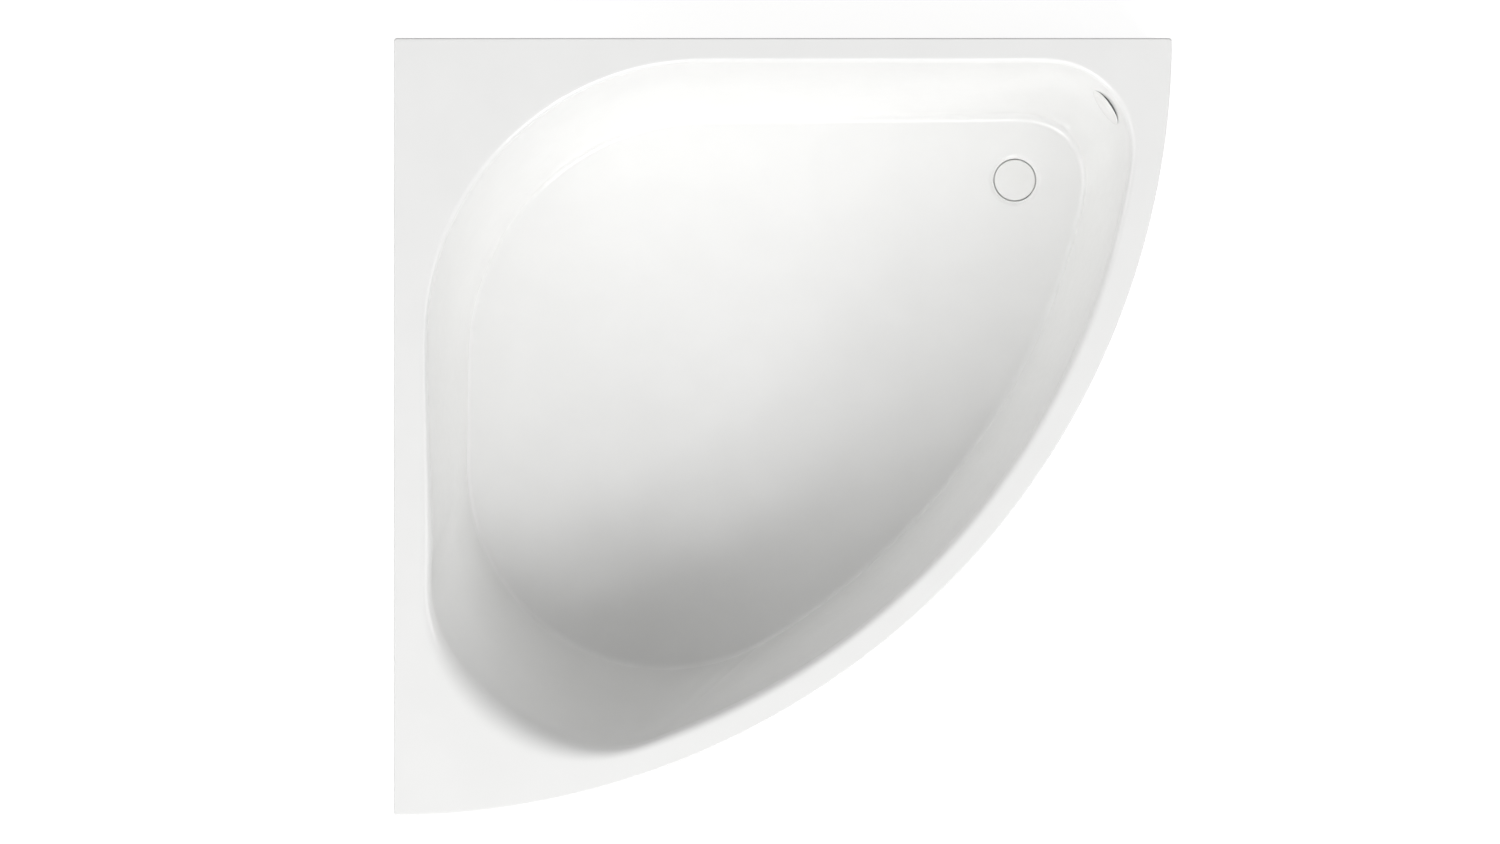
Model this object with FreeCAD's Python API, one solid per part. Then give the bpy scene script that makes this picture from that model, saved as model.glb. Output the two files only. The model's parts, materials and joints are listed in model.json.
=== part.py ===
"""Corner bathtub: a quarter-circle acrylic tub with its board, rails, feet, waste, overflow and apron.

Plan sizes are measured from the two room walls: u runs right from the left wall, v runs
forward from the back wall. The model frame has its origin on the floor under the middle of
the tub, +Z up, the back wall at +Y and the left wall at -X. All sizes are in millimetres.
"""
import FreeCAD, Part
import math
import os

from FreeCAD import Placement, Rotation, Vector

# ---------------------------------------------------------------- tub outline and levels
TUB_SIDE = 1400.0            # length along each wall, also the radius of the round front
RIM_TOP = 600.0              # height of the flat rim above the floor
TIP_ROUND = 6.0              # rounding of the rim's three corners in plan
LIP_HEIGHT = 38.0            # depth of the turned-down lip round the rim
LIP_EDGE_ROUND = 3.0         # rounding of the rim's outer top edge
ACRYLIC = 5.0                # wall of the acrylic moulding
LAMINATE = 3.0               # glass-fibre layer behind it
BOND_GAP = 0.3               # bond line between the two layers
SEAT_CLEAR = 1.0             # laminate's edge to the waste's and the overflow's seat
BASIN_DEPTH = 430.0          # rim to floor at the waste
FLOOR_FALL = 0.007           # fall of the floor towards the waste, rise per length

# ---------------------------------------------------------------- basin outlines in plan
EDGE_LEFT = 47.5             # left wall to the basin's upper edge
EDGE_BACK = 35.0             # back wall to the basin's upper edge
EDGE_FRONT = 35.0            # round front to the upper edge, at the middle of the arc
EDGE_SHIFT = 30.0            # how far that edge's arc centre stands off both walls
EDGE_R_BACK_LEFT = 511.0
EDGE_R_BACK_RIGHT = 166.0
EDGE_R_FRONT_LEFT = 299.0
FLOOR_LEFT = 123.0           # the same sizes for the edge of the flat floor
FLOOR_BACK = 138.5
FLOOR_FRONT = 116.0
FLOOR_SHIFT = 17.0
FLOOR_R_BACK_LEFT = 440.0
FLOOR_R_BACK_RIGHT = 109.0
FLOOR_R_FRONT_LEFT = 361.0
# Radii at the starts of the outline's six stretches: left line, back left arc, back line,
# back right arc, front arc, front left arc. The rim turns widest into the headrest.
ROLL_RADII = (34.0, 9.0, 9.0, 9.0, 15.0, 34.0)     # from the flat rim into the wall
FILLET_RADII = (17.0, 6.0, 9.0, 12.0, 8.0, 17.0)   # from the wall into the floor
THINNEST_ROLL = 0.5          # least radius of the upper turn on the back of a layer
SECTION_DEPTHS = (0.0, 0.002, 0.007, 0.016, 0.03, 0.05, 0.08, 0.25, 0.5, 0.75,
                  0.92, 0.955, 0.98, 0.993, 1.0)
POINTS_PER_STRETCH = (5, 16, 8, 12, 28, 14)   # left line, arc, back line, arc, front, arc

# ---------------------------------------------------------------- waste
WASTE_BACK = 247.5           # back wall to the waste's axis
WASTE_TO_FRONT = 129.0       # waste's axis to the floor's edge, measured along the back wall
DISH_R = 47.0                # shallow dish round the waste
DISH_DEPTH = 2.0
WELL_R = 39.4                # straight well in the dish, in which the cover lies
WELL_DEPTH = 8.0
WASTE_HOLE_R = 26.0
COVER_R = 37.0
COVER_T = 2.5
COVER_CROWN = 1.2            # rise of the cover's middle over its edge
COVER_EDGE = 1.0             # rounding of its edge
COVER_DROP = 0.6             # cover's edge below the bottom of the dish
FLANGE_R = 36.0
FLANGE_T = 1.5
SEAT_DEPTH = 3.0             # bevel of the flange's bore, on which the plug's seal sits
NECK_R = 24.5
NECK_WALL = 3.0
NECK_LENGTH = 20.0
HUB_R = 7.0
STEM_R = 4.0
RUN_FIT = 0.05               # radial clearance of a turning or sliding fit
SEAL_T = 1.2                 # flat seal under the flange
SEAL_LOWER_T = 4.0           # thick seal between tub and waste body
CHAMBER_R = 32.0
CHAMBER_WALL = 4.0
CHAMBER_DEPTH = 44.0
BODY_FLANGE_T = 4.0          # flange of the waste body under the lower seal
COLLAR_DEPTH = 10.0          # length of the flange's neck that the waste body holds
SPOKE_W = 3.0                # the spider's three arms
SPOKE_T = 5.0
SHOULDER_STEP = 4.0          # plug's shoulder to the neck's bore
LEVER_ARM = 18.0             # rocker's pin to the stem's axis
LEVER_REACH = 20.0           # stem's axis to the rocker's far end
LEVER_W = 6.0
LEVER_T = 3.0
PIN_R = 1.5
STEM_LENGTH = 34.0
REST_GAP = 0.3               # air between two touching moving pieces at rest

# ---------------------------------------------------------------- trap and outlet
TRAP_R = 50.0
TRAP_WALL = 3.0
TRAP_DEPTH = 58.0
TRAP_CORNER = 8.0            # slope round the cup's bottom
LID_T = 4.0                  # trap's lid, part of the waste body
LID_SKIRT = 10.0
DIP_R = 21.0
DIP_LENGTH = 36.0
OUTLET_R = 20.0              # waste pipe of 40 mm
PIPE_WALL = 2.2
OUTLET_DROP = 33.5           # trap's top to the outlet's axis
OUTLET_STUB = 30.0
OUTLET_TO_WALL = 60.0        # end of the outlet pipe to the back wall
OUTLET_FREE = 80.0           # pipe's free end, on which the drain's socket goes
STOP_RING = 3.0              # width of the stop ring behind the free end
OUTLET_NUT_LENGTH = 22.0
OUTLET_NUT_HOLD = 12.0       # nut's hold on the stub
OUTLET_NUT_WALL = 4.0
OUTLET_SEAL_T = 5.0
GRIPS = 12                   # grooves round the nut
GRIP_R = 1.5

# ---------------------------------------------------------------- overflow
OVERFLOW_DROP = 80.0         # rim to the middle of the overflow
OVERFLOW_TURN = 0.53         # place along the back right arc, 0 at the back, 1 at the front
ROSETTE_R = 36.5
ROSETTE_GAP = 5.5            # water gap between wall and rosette
ROSETTE_T = 8.5
ROSETTE_WALL = 3.0
ROSETTE_FACE = 5.0           # thickness of the rosette's face
ROSETTE_BOSS_R = 8.0
ROSETTE_SLOPE = 6.0          # width of the rounded rim of its face
PAD_DEPTH = 1.5              # flat seat pressed into the wall behind the rosette
PAD_R = 34.0
OVERFLOW_HOLE_R = 27.0
FACEPLATE_R = 32.0
FACEPLATE_T = 3.0
OVERFLOW_BODY_R = 30.0
OVERFLOW_BODY_T = 35.0
OVERFLOW_WALL = 3.0
OVERFLOW_SEAL_T = 3.0
OVERFLOW_SCREW = 14.0        # screw's length in its boss
SCREW_RING = 20.0            # overflow's axis to its screws
WATER_HOLES = 6
WATER_HOLE_R = 6.0
STUB_R = 16.0
STUB_WALL = 3.0
OVERFLOW_STUB = 52.0         # overflow's axis to the lower end of its hose stub
HOSE_R = 15.0                # crest of the ribs
HOSE_VALLEY_R = 13.4
HOSE_BORE_R = 12.0
HOSE_RIB_PITCH = 5.0
HOSE_BEND = 78.0
HOSE_INLET = 62.0            # waste's axis to the hose's lower end
NUT_R = 18.4
NUT_LENGTH = 20.0
CABLE_R = 3.0
CABLE_SIDE = 27.0            # cable beside the hose
CABLE_GLAND_R = 5.0
CABLE_GLAND = 46.0           # from the waste's axis, and down from the overflow's

# ---------------------------------------------------------------- board, rails and feet
BOARD_T = 16.0
BOARD_INSET = 32.0
BOARD_HOLE_R = 62.0
RAIL_FROM_BACK = (215.0, 520.0, 850.0)
RAIL_NAMES = ("rail_back", "rail_middle", "rail_front")
RAIL_HEIGHT = 30.0
RAIL_WIDTH = 40.0
RAIL_FLANGE = 18.0
RAIL_T = 2.0
RAIL_END = 40.0              # rail's end inside the floor's edge
RAIL_TO_WASTE = 120.0        # rail's end to the waste's axis
FOOT_FROM_END = 70.0
SPINDLE_R = 6.0
SPINDLE_UP = 11.0            # spindle above the upper nut, for the foot's travel down
SPINDLE_CHAMFER = 0.8
NUT_T = 8.0
NUT_FLATS = 18.0
PAD_FOOT_R = 26.0
PAD_FOOT_T = 14.0
PAD_FOOT_EDGE = 4.0          # height of the foot's rounded rim
PAD_FOOT_BOSS = 7.0          # height at which its boss starts
SPINDLE_HOLE_PLAY = 0.5
SCREW_R = 2.4
SCREW_HEAD_R = 4.6
SCREW_HEAD_T = 2.6
SCREW_LENGTH = 13.0

# ---------------------------------------------------------------- rim supports and apron
BATTEN_HEIGHT = 22.0
BATTEN_END = 150.0           # batten's end to the next wall or tip
BATTEN_CLEAR = 1.0
BLOCK_ANGLES = (20.0, 45.0, 70.0)
BLOCK_LENGTH = 70.0
BLOCK_WIDTH = 18.0
BLOCK_HEIGHT = 32.0
PANEL_T = 4.0
PANEL_GAP = 1.0              # apron to lip, to walls and to the rim above
PANEL_TO_FLOOR = 6.0
CLIP_T = 2.0
CLIP_WIDTH = 36.0
CLIP_HEIGHT = 60.0
CLIP_CLEAR = 0.6
STAY_WIDTH = 24.0
STAY_T = 3.0
STAY_PLATE = 50.0
STAY_GAP = 0.5

# ---------------------------------------------------------------- values that follow from these
HALF = TUB_SIDE / 2
UP = Vector(0, 0, 1)
BACK = Vector(0, 1, 0)
FLOOR_AT_WASTE = RIM_TOP - BASIN_DEPTH
BOARD_TOP = FLOOR_AT_WASTE - ACRYLIC - BOND_GAP - LAMINATE
BOARD_BOTTOM = BOARD_TOP - BOARD_T
RAIL_BOTTOM = BOARD_BOTTOM - RAIL_HEIGHT
RIM_UNDERSIDE = RIM_TOP - ACRYLIC - BOND_GAP - LAMINATE
PANEL_R = TUB_SIDE - ACRYLIC - PANEL_GAP
EDGE_RADIUS = TUB_SIDE - EDGE_FRONT - EDGE_SHIFT * math.sqrt(2)
FLOOR_RADIUS = TUB_SIDE - FLOOR_FRONT - FLOOR_SHIFT * math.sqrt(2)


def plan(u, v, z=0.0):
    """Point of the model frame at u from the left wall and v from the back wall."""
    return Vector(u - HALF, HALF - v, z)


WASTE_U = (FLOOR_SHIFT + math.sqrt(FLOOR_RADIUS ** 2 - (WASTE_BACK - FLOOR_SHIFT) ** 2)
           - WASTE_TO_FRONT)
WASTE = plan(WASTE_U, WASTE_BACK)


# ---------------------------------------------------------------- plain solids
def rod(radius, start, direction, length):
    """Cylinder from start along direction."""
    return Part.makeCylinder(radius, length, start, direction)


def pipe(outer, inner, start, direction, length):
    """Straight tube from start along direction."""
    return rod(outer, start, direction, length).cut(rod(inner, start, direction, length))


def ring(outer, inner, low, high, centre=WASTE):
    """Upright tube between two heights about centre."""
    return pipe(outer, inner, Vector(centre.x, centre.y, low), UP, high - low)


def core(radius, low, high):
    """Upright cylinder about the waste's axis."""
    return rod(radius, Vector(WASTE.x, WASTE.y, low), UP, high - low)


def turned(profile, centre):
    """Solid of revolution of (radius, height) corners about an upright axis at centre."""
    corners = [Vector(centre.x + radius, centre.y, centre.z + height) for radius, height in profile]
    face = Part.Face(Part.makePolygon(corners + corners[:1]))
    return face.revolve(centre, UP, 360)


def hexagon(flats, bore, start, height):
    """Upright nut: a hexagon across flats with a round bore."""
    radius = flats / math.sqrt(3)
    corners = [start + Vector(radius * math.cos(math.radians(60 * k)),
                              radius * math.sin(math.radians(60 * k)), 0) for k in range(7)]
    nut = Part.Face(Part.makePolygon(corners)).extrude(Vector(0, 0, height))
    return nut.cut(rod(bore, start, UP, height))


def fuse_all(shapes):
    """One solid out of overlapping ones, with its seams removed."""
    return shapes[0].multiFuse(shapes[1:]).removeSplitter()


def prism(outline, low, high):
    """Upright prism over plan corners (u, v)."""
    corners = [plan(u, v, low) for u, v in outline]
    return Part.Face(Part.makePolygon(corners + corners[:1])).extrude(Vector(0, 0, high - low))


# ---------------------------------------------------------------- the basin's surface
def smooth(t):
    """Step from 0 to 1 with level ends."""
    t = min(max(t, 0.0), 1.0)
    return t * t * (3 - 2 * t)


def outline(left, back, shift, radius, r_back_left, r_back_right, r_front_left):
    """Closed outline of two lines and four tangent arcs, one list of points per stretch.

    A point is (u, v, turn), turn being the direction that faces out of the outline there.
    Every stretch stops short of its last point, so that the stretches join without a
    double point.
    """
    reach_right = math.sqrt((radius - r_back_right) ** 2 - (back + r_back_right - shift) ** 2)
    reach_front = math.sqrt((radius - r_front_left) ** 2 - (left + r_front_left - shift) ** 2)
    back_left = (left + r_back_left, back + r_back_left)
    back_right = (shift + reach_right, back + r_back_right)
    front_left = (left + r_front_left, shift + reach_front)
    turn_right = math.atan2(back_right[1] - shift, back_right[0] - shift)
    turn_front = math.atan2(front_left[1] - shift, front_left[0] - shift)

    def line(start, end, turn, count):
        return [(start[0] + (end[0] - start[0]) * k / count,
                 start[1] + (end[1] - start[1]) * k / count, turn) for k in range(count)]

    def arc(centre, r, first, last, count):
        turns = [first + (last - first) * k / count for k in range(count)]
        return [(centre[0] + r * math.cos(turn), centre[1] + r * math.sin(turn), turn)
                for turn in turns]

    counts = POINTS_PER_STRETCH
    return [line((left, front_left[1]), (left, back_left[1]), math.pi, counts[0]),
            arc(back_left, r_back_left, math.pi, 1.5 * math.pi, counts[1]),
            line((back_left[0], back), (back_right[0], back), -math.pi / 2, counts[2]),
            arc(back_right, r_back_right, -math.pi / 2, turn_right, counts[3]),
            arc((shift, shift), radius, turn_right, turn_front, counts[4]),
            arc(front_left, r_front_left, turn_front, math.pi, counts[5])]


def upper_edge():
    """Outline of the basin's upper edge."""
    return outline(EDGE_LEFT, EDGE_BACK, EDGE_SHIFT, EDGE_RADIUS,
                   EDGE_R_BACK_LEFT, EDGE_R_BACK_RIGHT, EDGE_R_FRONT_LEFT)


def floor_edge(grow=0.0):
    """Outline of the flat floor, grown outwards."""
    return outline(FLOOR_LEFT - grow, FLOOR_BACK - grow, FLOOR_SHIFT, FLOOR_RADIUS + grow,
                   FLOOR_R_BACK_LEFT + grow, FLOOR_R_BACK_RIGHT + grow, FLOOR_R_FRONT_LEFT + grow)


def along(radii, stretch, t):
    """Radius at t along a stretch. It changes late on the front arc and early on the left line."""
    start = radii[stretch]
    end = radii[(stretch + 1) % len(radii)]
    if stretch == 0:
        t = 2 * t
    if stretch == 4:
        t = 3 * t - 2
    return start + (end - start) * smooth(t)


def wall_angle(run, drop, roll, fillet):
    """Slope of the straight part of a wall that starts and ends in tangent arcs."""
    arcs = roll + fillet
    return (math.atan2(drop - arcs, run)
            + math.asin(arcs / math.hypot(run, drop - arcs)))


def wall_run(depth, run, drop, roll, fillet):
    """How far the wall has moved inwards at a depth: an arc, a straight slope and an arc."""
    angle = wall_angle(run, drop, roll, fillet)
    roll_depth = roll * (1 - math.cos(angle))
    fillet_depth = fillet * (1 - math.cos(angle))
    if depth <= roll_depth:
        return math.sqrt(max(roll ** 2 - (roll - depth) ** 2, 0.0))
    if depth >= drop - fillet_depth:
        return run - math.sqrt(max(fillet ** 2 - (fillet - (drop - depth)) ** 2, 0.0))
    return roll * math.sin(angle) + (depth - roll_depth) / math.tan(angle)


def wall_point(stretch, k, count, top, bottom, share, behind, fall):
    """Point of the wall at a share of its depth, or of a surface at a distance behind it.

    A surface behind the wall keeps the arcs' centres: the upper arc gets smaller, the lower
    one larger, and the whole lies deeper by the same distance.
    """
    run = ((top[0] - bottom[0]) * math.cos(top[2]) + (top[1] - bottom[1]) * math.sin(top[2]))
    roll = max(along(ROLL_RADII, stretch, k / count) - behind, THINNEST_ROLL)
    fillet = along(FILLET_RADII, stretch, k / count) + behind
    moved = wall_run(share * BASIN_DEPTH, run, BASIN_DEPTH, roll, fillet) / run
    u = top[0] + (bottom[0] - top[0]) * moved
    v = top[1] + (bottom[1] - top[1]) * moved
    depth = behind + share * BASIN_DEPTH
    if fall:
        depth -= share * fall * ((WASTE_U - u) + (v - WASTE_BACK)) / math.sqrt(2)
    return plan(u, v, RIM_TOP - depth)


def basin(behind=0.0, fall=FLOOR_FALL):
    """Solid bounded by the basin's wall and floor, or by surfaces behind them."""
    wires = []
    for share in SECTION_DEPTHS:
        points = []
        for stretch, (tops, bottoms) in enumerate(zip(upper_edge(), floor_edge())):
            for k, (top, bottom) in enumerate(zip(tops, bottoms)):
                points.append(wall_point(stretch, k, len(tops), top, bottom, share, behind, fall))
        curve = Part.BSplineCurve()
        knots = [k / len(points) for k in range(len(points) + 1)]
        curve.interpolate(Points=points, PeriodicFlag=True, Parameters=knots)
        wires.append(Part.Wire(curve.toShape()))
    return Part.makeLoft(wires, True, True)


# ---------------------------------------------------------------- rim
def quarter(radius, gap, low, high):
    """Upright quarter disc about the room corner, gap away from both walls."""
    reach = math.sqrt(radius ** 2 - gap ** 2)
    middle = radius / math.sqrt(2)
    edges = [Part.LineSegment(plan(gap, gap, low), plan(reach, gap, low)).toShape(),
             Part.Arc(plan(reach, gap, low), plan(middle, middle, low),
                      plan(gap, reach, low)).toShape(),
             Part.LineSegment(plan(gap, reach, low), plan(gap, gap, low)).toShape()]
    return Part.Face(Part.Wire(edges)).extrude(Vector(0, 0, high - low))


def rim_slab():
    """Flat rim with its turned-down lip, its corners and its outer top edge rounded."""
    body = quarter(TUB_SIDE, 0.0, RIM_TOP - LIP_HEIGHT, RIM_TOP)
    corners = [e for e in body.Edges if abs(e.tangentAt(e.FirstParameter).z) > 0.9]
    body = body.makeFillet(TIP_ROUND, corners)
    top = [e for e in body.Edges if e.BoundBox.ZMin > RIM_TOP - LIP_EDGE_ROUND / 2]
    body = body.makeFillet(LIP_EDGE_ROUND, top)
    inside = quarter(TUB_SIDE - ACRYLIC, ACRYLIC, RIM_TOP - LIP_HEIGHT, RIM_TOP - ACRYLIC)
    return body.cut(inside)


# ---------------------------------------------------------------- overflow's own frame
def overflow_frame():
    """Middle of the overflow on the wall's inner face, and the wall's normal there."""
    tops = upper_edge()[3]
    bottoms = floor_edge()[3]
    place = OVERFLOW_TURN * len(tops)
    k = int(place)
    part = place - k
    share = OVERFLOW_DROP / BASIN_DEPTH

    def on_wall(index, depth_share):
        return wall_point(3, index, len(tops), tops[index], bottoms[index],
                          depth_share, 0.0, FLOOR_FALL)

    here = on_wall(k, share) * (1 - part) + on_wall(k + 1, share) * part
    along = on_wall(k + 1, share) - on_wall(k, share)
    down = on_wall(k, share + 0.1) - on_wall(k, share)
    normal = along.cross(down)
    normal.normalize()
    if normal.dot(WASTE - here) < 0:
        normal = normal * -1
    return here, normal


OVERFLOW, NORMAL = overflow_frame()
OVERFLOW_PLACE = Placement(OVERFLOW, Rotation(UP, NORMAL))


def on_overflow(shape):
    """Move a shape made about +Z at the origin onto the overflow's axis."""
    moved = shape.copy()
    moved.Placement = OVERFLOW_PLACE.multiply(moved.Placement)
    return moved


PAD_BACK = -PAD_DEPTH - ACRYLIC
SEAL_BACK = PAD_BACK - OVERFLOW_SEAL_T
BODY_BACK = SEAL_BACK - OVERFLOW_BODY_T
STUB_TOP = OVERFLOW + NORMAL * (SEAL_BACK - OVERFLOW_BODY_T / 2)
OUTWARD = Vector(STUB_TOP.x - WASTE.x, STUB_TOP.y - WASTE.y, 0).normalize()
SIDEWAYS = UP.cross(OUTWARD)


# ---------------------------------------------------------------- shell, laminate and board
def well(behind):
    """Dish and well round the waste, or the surface behind them on the back of the moulding."""
    low = FLOOR_AT_WASTE - WELL_DEPTH - behind
    dish_low = FLOOR_AT_WASTE - DISH_DEPTH - behind
    top = FLOOR_AT_WASTE - behind + 2 * BASIN_DEPTH * FLOOR_FALL
    straight = core(WELL_R + behind, low, top)
    slope = (top - dish_low) / DISH_DEPTH * (DISH_R - WELL_R)
    cone = Part.makeCone(WELL_R + behind, WELL_R + behind + slope, top - dish_low,
                         Vector(WASTE.x, WASTE.y, dish_low), UP)
    return straight.fuse(cone)


def acrylic_shell():
    """The moulding: rim, lip and basin wall, with the waste's well and the overflow's seat."""
    seat = rod(PAD_R + ACRYLIC, Vector(0, 0, PAD_BACK), UP, ACRYLIC + PAD_DEPTH)
    boss = core(WELL_R + ACRYLIC, FLOOR_AT_WASTE - WELL_DEPTH - ACRYLIC, FLOOR_AT_WASTE)
    shell = fuse_all([rim_slab(), basin(ACRYLIC), on_overflow(seat), boss])
    shell = shell.cut(basin())
    shell = shell.cut(well(0.0))
    recess = rod(PAD_R, Vector(0, 0, -PAD_DEPTH), UP, PAD_R)
    hole = rod(OVERFLOW_HOLE_R, Vector(0, 0, 2 * PAD_BACK), UP, PAD_R)
    waste_hole = core(WASTE_HOLE_R, 0, FLOOR_AT_WASTE)
    return shell.cut([on_overflow(recess), on_overflow(hole), waste_hole])


def laminate_backing():
    """Glass-fibre layer on the back of the basin and under the rim."""
    inner = ACRYLIC + BOND_GAP
    outer = inner + LAMINATE
    under_rim = quarter(TUB_SIDE - inner, inner, RIM_UNDERSIDE, RIM_TOP - inner)
    layer = under_rim.fuse(basin(outer, fall=0.0))
    layer = layer.cut(basin(inner))
    overflow_gap = rod(PAD_R + ACRYLIC + SEAT_CLEAR, Vector(0, 0, 5 * PAD_BACK), UP, -10 * PAD_BACK)
    waste_gap = core(WELL_R + ACRYLIC + SEAT_CLEAR, 0, FLOOR_AT_WASTE)
    above = quarter(2 * TUB_SIDE, -TUB_SIDE, RIM_TOP - inner, RIM_TOP)
    return layer.cut([on_overflow(overflow_gap), waste_gap, above])


def board_outline_at(low, high):
    """Upright prism over the floor's outline, drawn in from its edge."""
    points = [plan(u, v, low) for stretch in floor_edge(-BOARD_INSET) for u, v, turn in stretch]
    curve = Part.BSplineCurve()
    curve.interpolate(Points=points, PeriodicFlag=True)
    return Part.Face(Part.Wire(curve.toShape())).extrude(Vector(0, 0, high - low))


def base_board(screw_holes):
    """Board under the floor that takes the rails' screws."""
    board = board_outline_at(BOARD_BOTTOM, BOARD_TOP)
    board = board.cut(core(BOARD_HOLE_R, BOARD_BOTTOM, BOARD_TOP))
    return board.cut(screw_holes)


# ---------------------------------------------------------------- rails and feet
def rail_span(v):
    """Ends of a rail at v from the back wall, as distances from the left wall."""
    start = outline_left_at(v) + RAIL_END
    end = FLOOR_SHIFT + math.sqrt(FLOOR_RADIUS ** 2 - (v - FLOOR_SHIFT) ** 2) - RAIL_END
    if abs(v - WASTE_BACK) < RAIL_TO_WASTE:
        end = WASTE_U - RAIL_TO_WASTE
    return start, end


def outline_left_at(v):
    """Left edge of the floor at v from the back wall."""
    near = [u for stretch in floor_edge() for u, w, turn in stretch if abs(w - v) < 2 * RAIL_WIDTH]
    return min(near)


def rail(v):
    """Hat-section rail: a web at the bottom, two sides and two flanges under the board."""
    start, end = rail_span(v)
    half = RAIL_WIDTH / 2
    top = BOARD_BOTTOM
    low = RAIL_BOTTOM

    def bar(near, far, bottom, height):
        corner = plan(start, v - near, bottom)
        return Part.makeBox(end - start, near - far, height, corner - Vector(0, near - far, 0))

    pieces = [bar(half, -half, low, RAIL_T),
              bar(half, half - RAIL_T, low, top - low),
              bar(-half + RAIL_T, -half, low, top - low),
              bar(half + RAIL_FLANGE, half - RAIL_T, top - RAIL_T, RAIL_T),
              bar(-half + RAIL_T, -half - RAIL_FLANGE, top - RAIL_T, RAIL_T)]
    solid = fuse_all(pieces)
    holes = [rod(SPINDLE_R + SPINDLE_HOLE_PLAY, plan(u, v, low - RAIL_T), UP, 3 * RAIL_T)
             for u in foot_places(v)]
    holes += [rod(SCREW_R + RUN_FIT, plan(u, w, top - 2 * RAIL_T), UP, 3 * RAIL_T)
              for u, w in screw_places(v)]
    return solid.cut(holes)


def foot_places(v):
    """Distances of a rail's two feet from the left wall."""
    start, end = rail_span(v)
    return [start + FOOT_FROM_END, end - FOOT_FROM_END]


def screw_places(v):
    """Plan places of a rail's screws, in pairs through its flanges."""
    start, end = rail_span(v)
    side = RAIL_WIDTH / 2 + RAIL_FLANGE / 2
    steps = [start + FOOT_FROM_END / 2, (start + end) / 2, end - FOOT_FROM_END / 2]
    return [(u, v + way * side) for u in steps for way in (-1, 1)]


def rail_screw(u, v):
    """Screw from under a rail's flange up into the board."""
    seat = BOARD_BOTTOM - RAIL_T
    shank = rod(SCREW_R, plan(u, v, seat), UP, SCREW_LENGTH)
    head = turned([(0, -SCREW_HEAD_T), (SCREW_HEAD_R * 0.7, -SCREW_HEAD_T),
                   (SCREW_HEAD_R, -SCREW_HEAD_T / 2), (SCREW_HEAD_R, 0), (0, 0)],
                  plan(u, v, seat))
    return fuse_all([shank, head])


def foot_pad(u, v):
    """Round plastic foot with a socket for the spindle's end."""
    rise = PAD_FOOT_T
    socket = SPINDLE_R + RUN_FIT
    return turned([(0, 0), (PAD_FOOT_R - 1, 0), (PAD_FOOT_R, 1), (PAD_FOOT_R, PAD_FOOT_EDGE),
                   (SPINDLE_R * 2.4, PAD_FOOT_BOSS), (SPINDLE_R * 2, rise), (socket, rise),
                   (socket, rise / 2), (0, rise / 2)], plan(u, v, 0))


def foot_spindle(u, v):
    """Threaded rod between the foot and the rail."""
    top = RAIL_BOTTOM + RAIL_T + NUT_T + SPINDLE_UP
    start = PAD_FOOT_T / 2
    body = rod(SPINDLE_R, plan(u, v, start), UP, top - start)
    ends = [e for e in body.Edges if e.BoundBox.ZLength < 1]
    return body.makeChamfer(SPINDLE_CHAMFER, ends)


def foot_nuts(u, v):
    """Two nuts that grip the rail's web between them."""
    low = hexagon(NUT_FLATS, SPINDLE_R + RUN_FIT, plan(u, v, RAIL_BOTTOM - NUT_T), NUT_T)
    high = hexagon(NUT_FLATS, SPINDLE_R + RUN_FIT, plan(u, v, RAIL_BOTTOM + RAIL_T), NUT_T)
    return Part.makeCompound([low, high])


# ---------------------------------------------------------------- waste and plug
WELL_FLOOR = FLOOR_AT_WASTE - WELL_DEPTH
FLANGE_LOW = WELL_FLOOR + SEAL_T
FLANGE_HIGH = FLANGE_LOW + FLANGE_T
COVER_HIGH = FLOOR_AT_WASTE - DISH_DEPTH - COVER_DROP
COVER_LOW = COVER_HIGH - COVER_T
TUB_BACK_AT_WASTE = WELL_FLOOR - ACRYLIC
BODY_TOP = TUB_BACK_AT_WASTE - SEAL_LOWER_T
CHAMBER_LOW = BODY_TOP - CHAMBER_DEPTH
STEM_LOW = COVER_LOW - STEM_LENGTH
BUMP_R = LEVER_T
PIVOT_Z = STEM_LOW - REST_GAP - BUMP_R - LEVER_T / 2
INLET_Z = CHAMBER_LOW + STUB_R + 1
TRAP_TOP = CHAMBER_LOW - LID_T
BORE_R = NECK_R - NECK_WALL
SHOULDER_R = BORE_R - SHOULDER_STEP


def waste_flange():
    """Ring in the well with a neck through the tub and a spider that guides the stem."""
    neck_low = FLANGE_LOW - NECK_LENGTH
    body = turned([(BORE_R, neck_low), (NECK_R, neck_low), (NECK_R, FLANGE_LOW),
                   (FLANGE_R, FLANGE_LOW), (FLANGE_R, FLANGE_HIGH - 1), (FLANGE_R - 1, FLANGE_HIGH),
                   (BORE_R + SEAT_DEPTH, FLANGE_HIGH), (BORE_R, FLANGE_HIGH - SEAT_DEPTH)], WASTE)
    hub = core(HUB_R, neck_low, neck_low + NECK_LENGTH / 2)
    spokes = []
    for k in range(3):
        spoke = Part.makeBox(BORE_R + NECK_WALL / 2, SPOKE_W, SPOKE_T, Vector(0, -SPOKE_W / 2, 0))
        spoke.rotate(Vector(0, 0, 0), UP, 30 + 120 * k)
        spoke.translate(Vector(WASTE.x, WASTE.y, neck_low))
        spokes.append(spoke)
    whole = fuse_all([body, hub] + spokes)
    return whole.cut(core(STEM_R + RUN_FIT, neck_low, FLANGE_HIGH))


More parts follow.
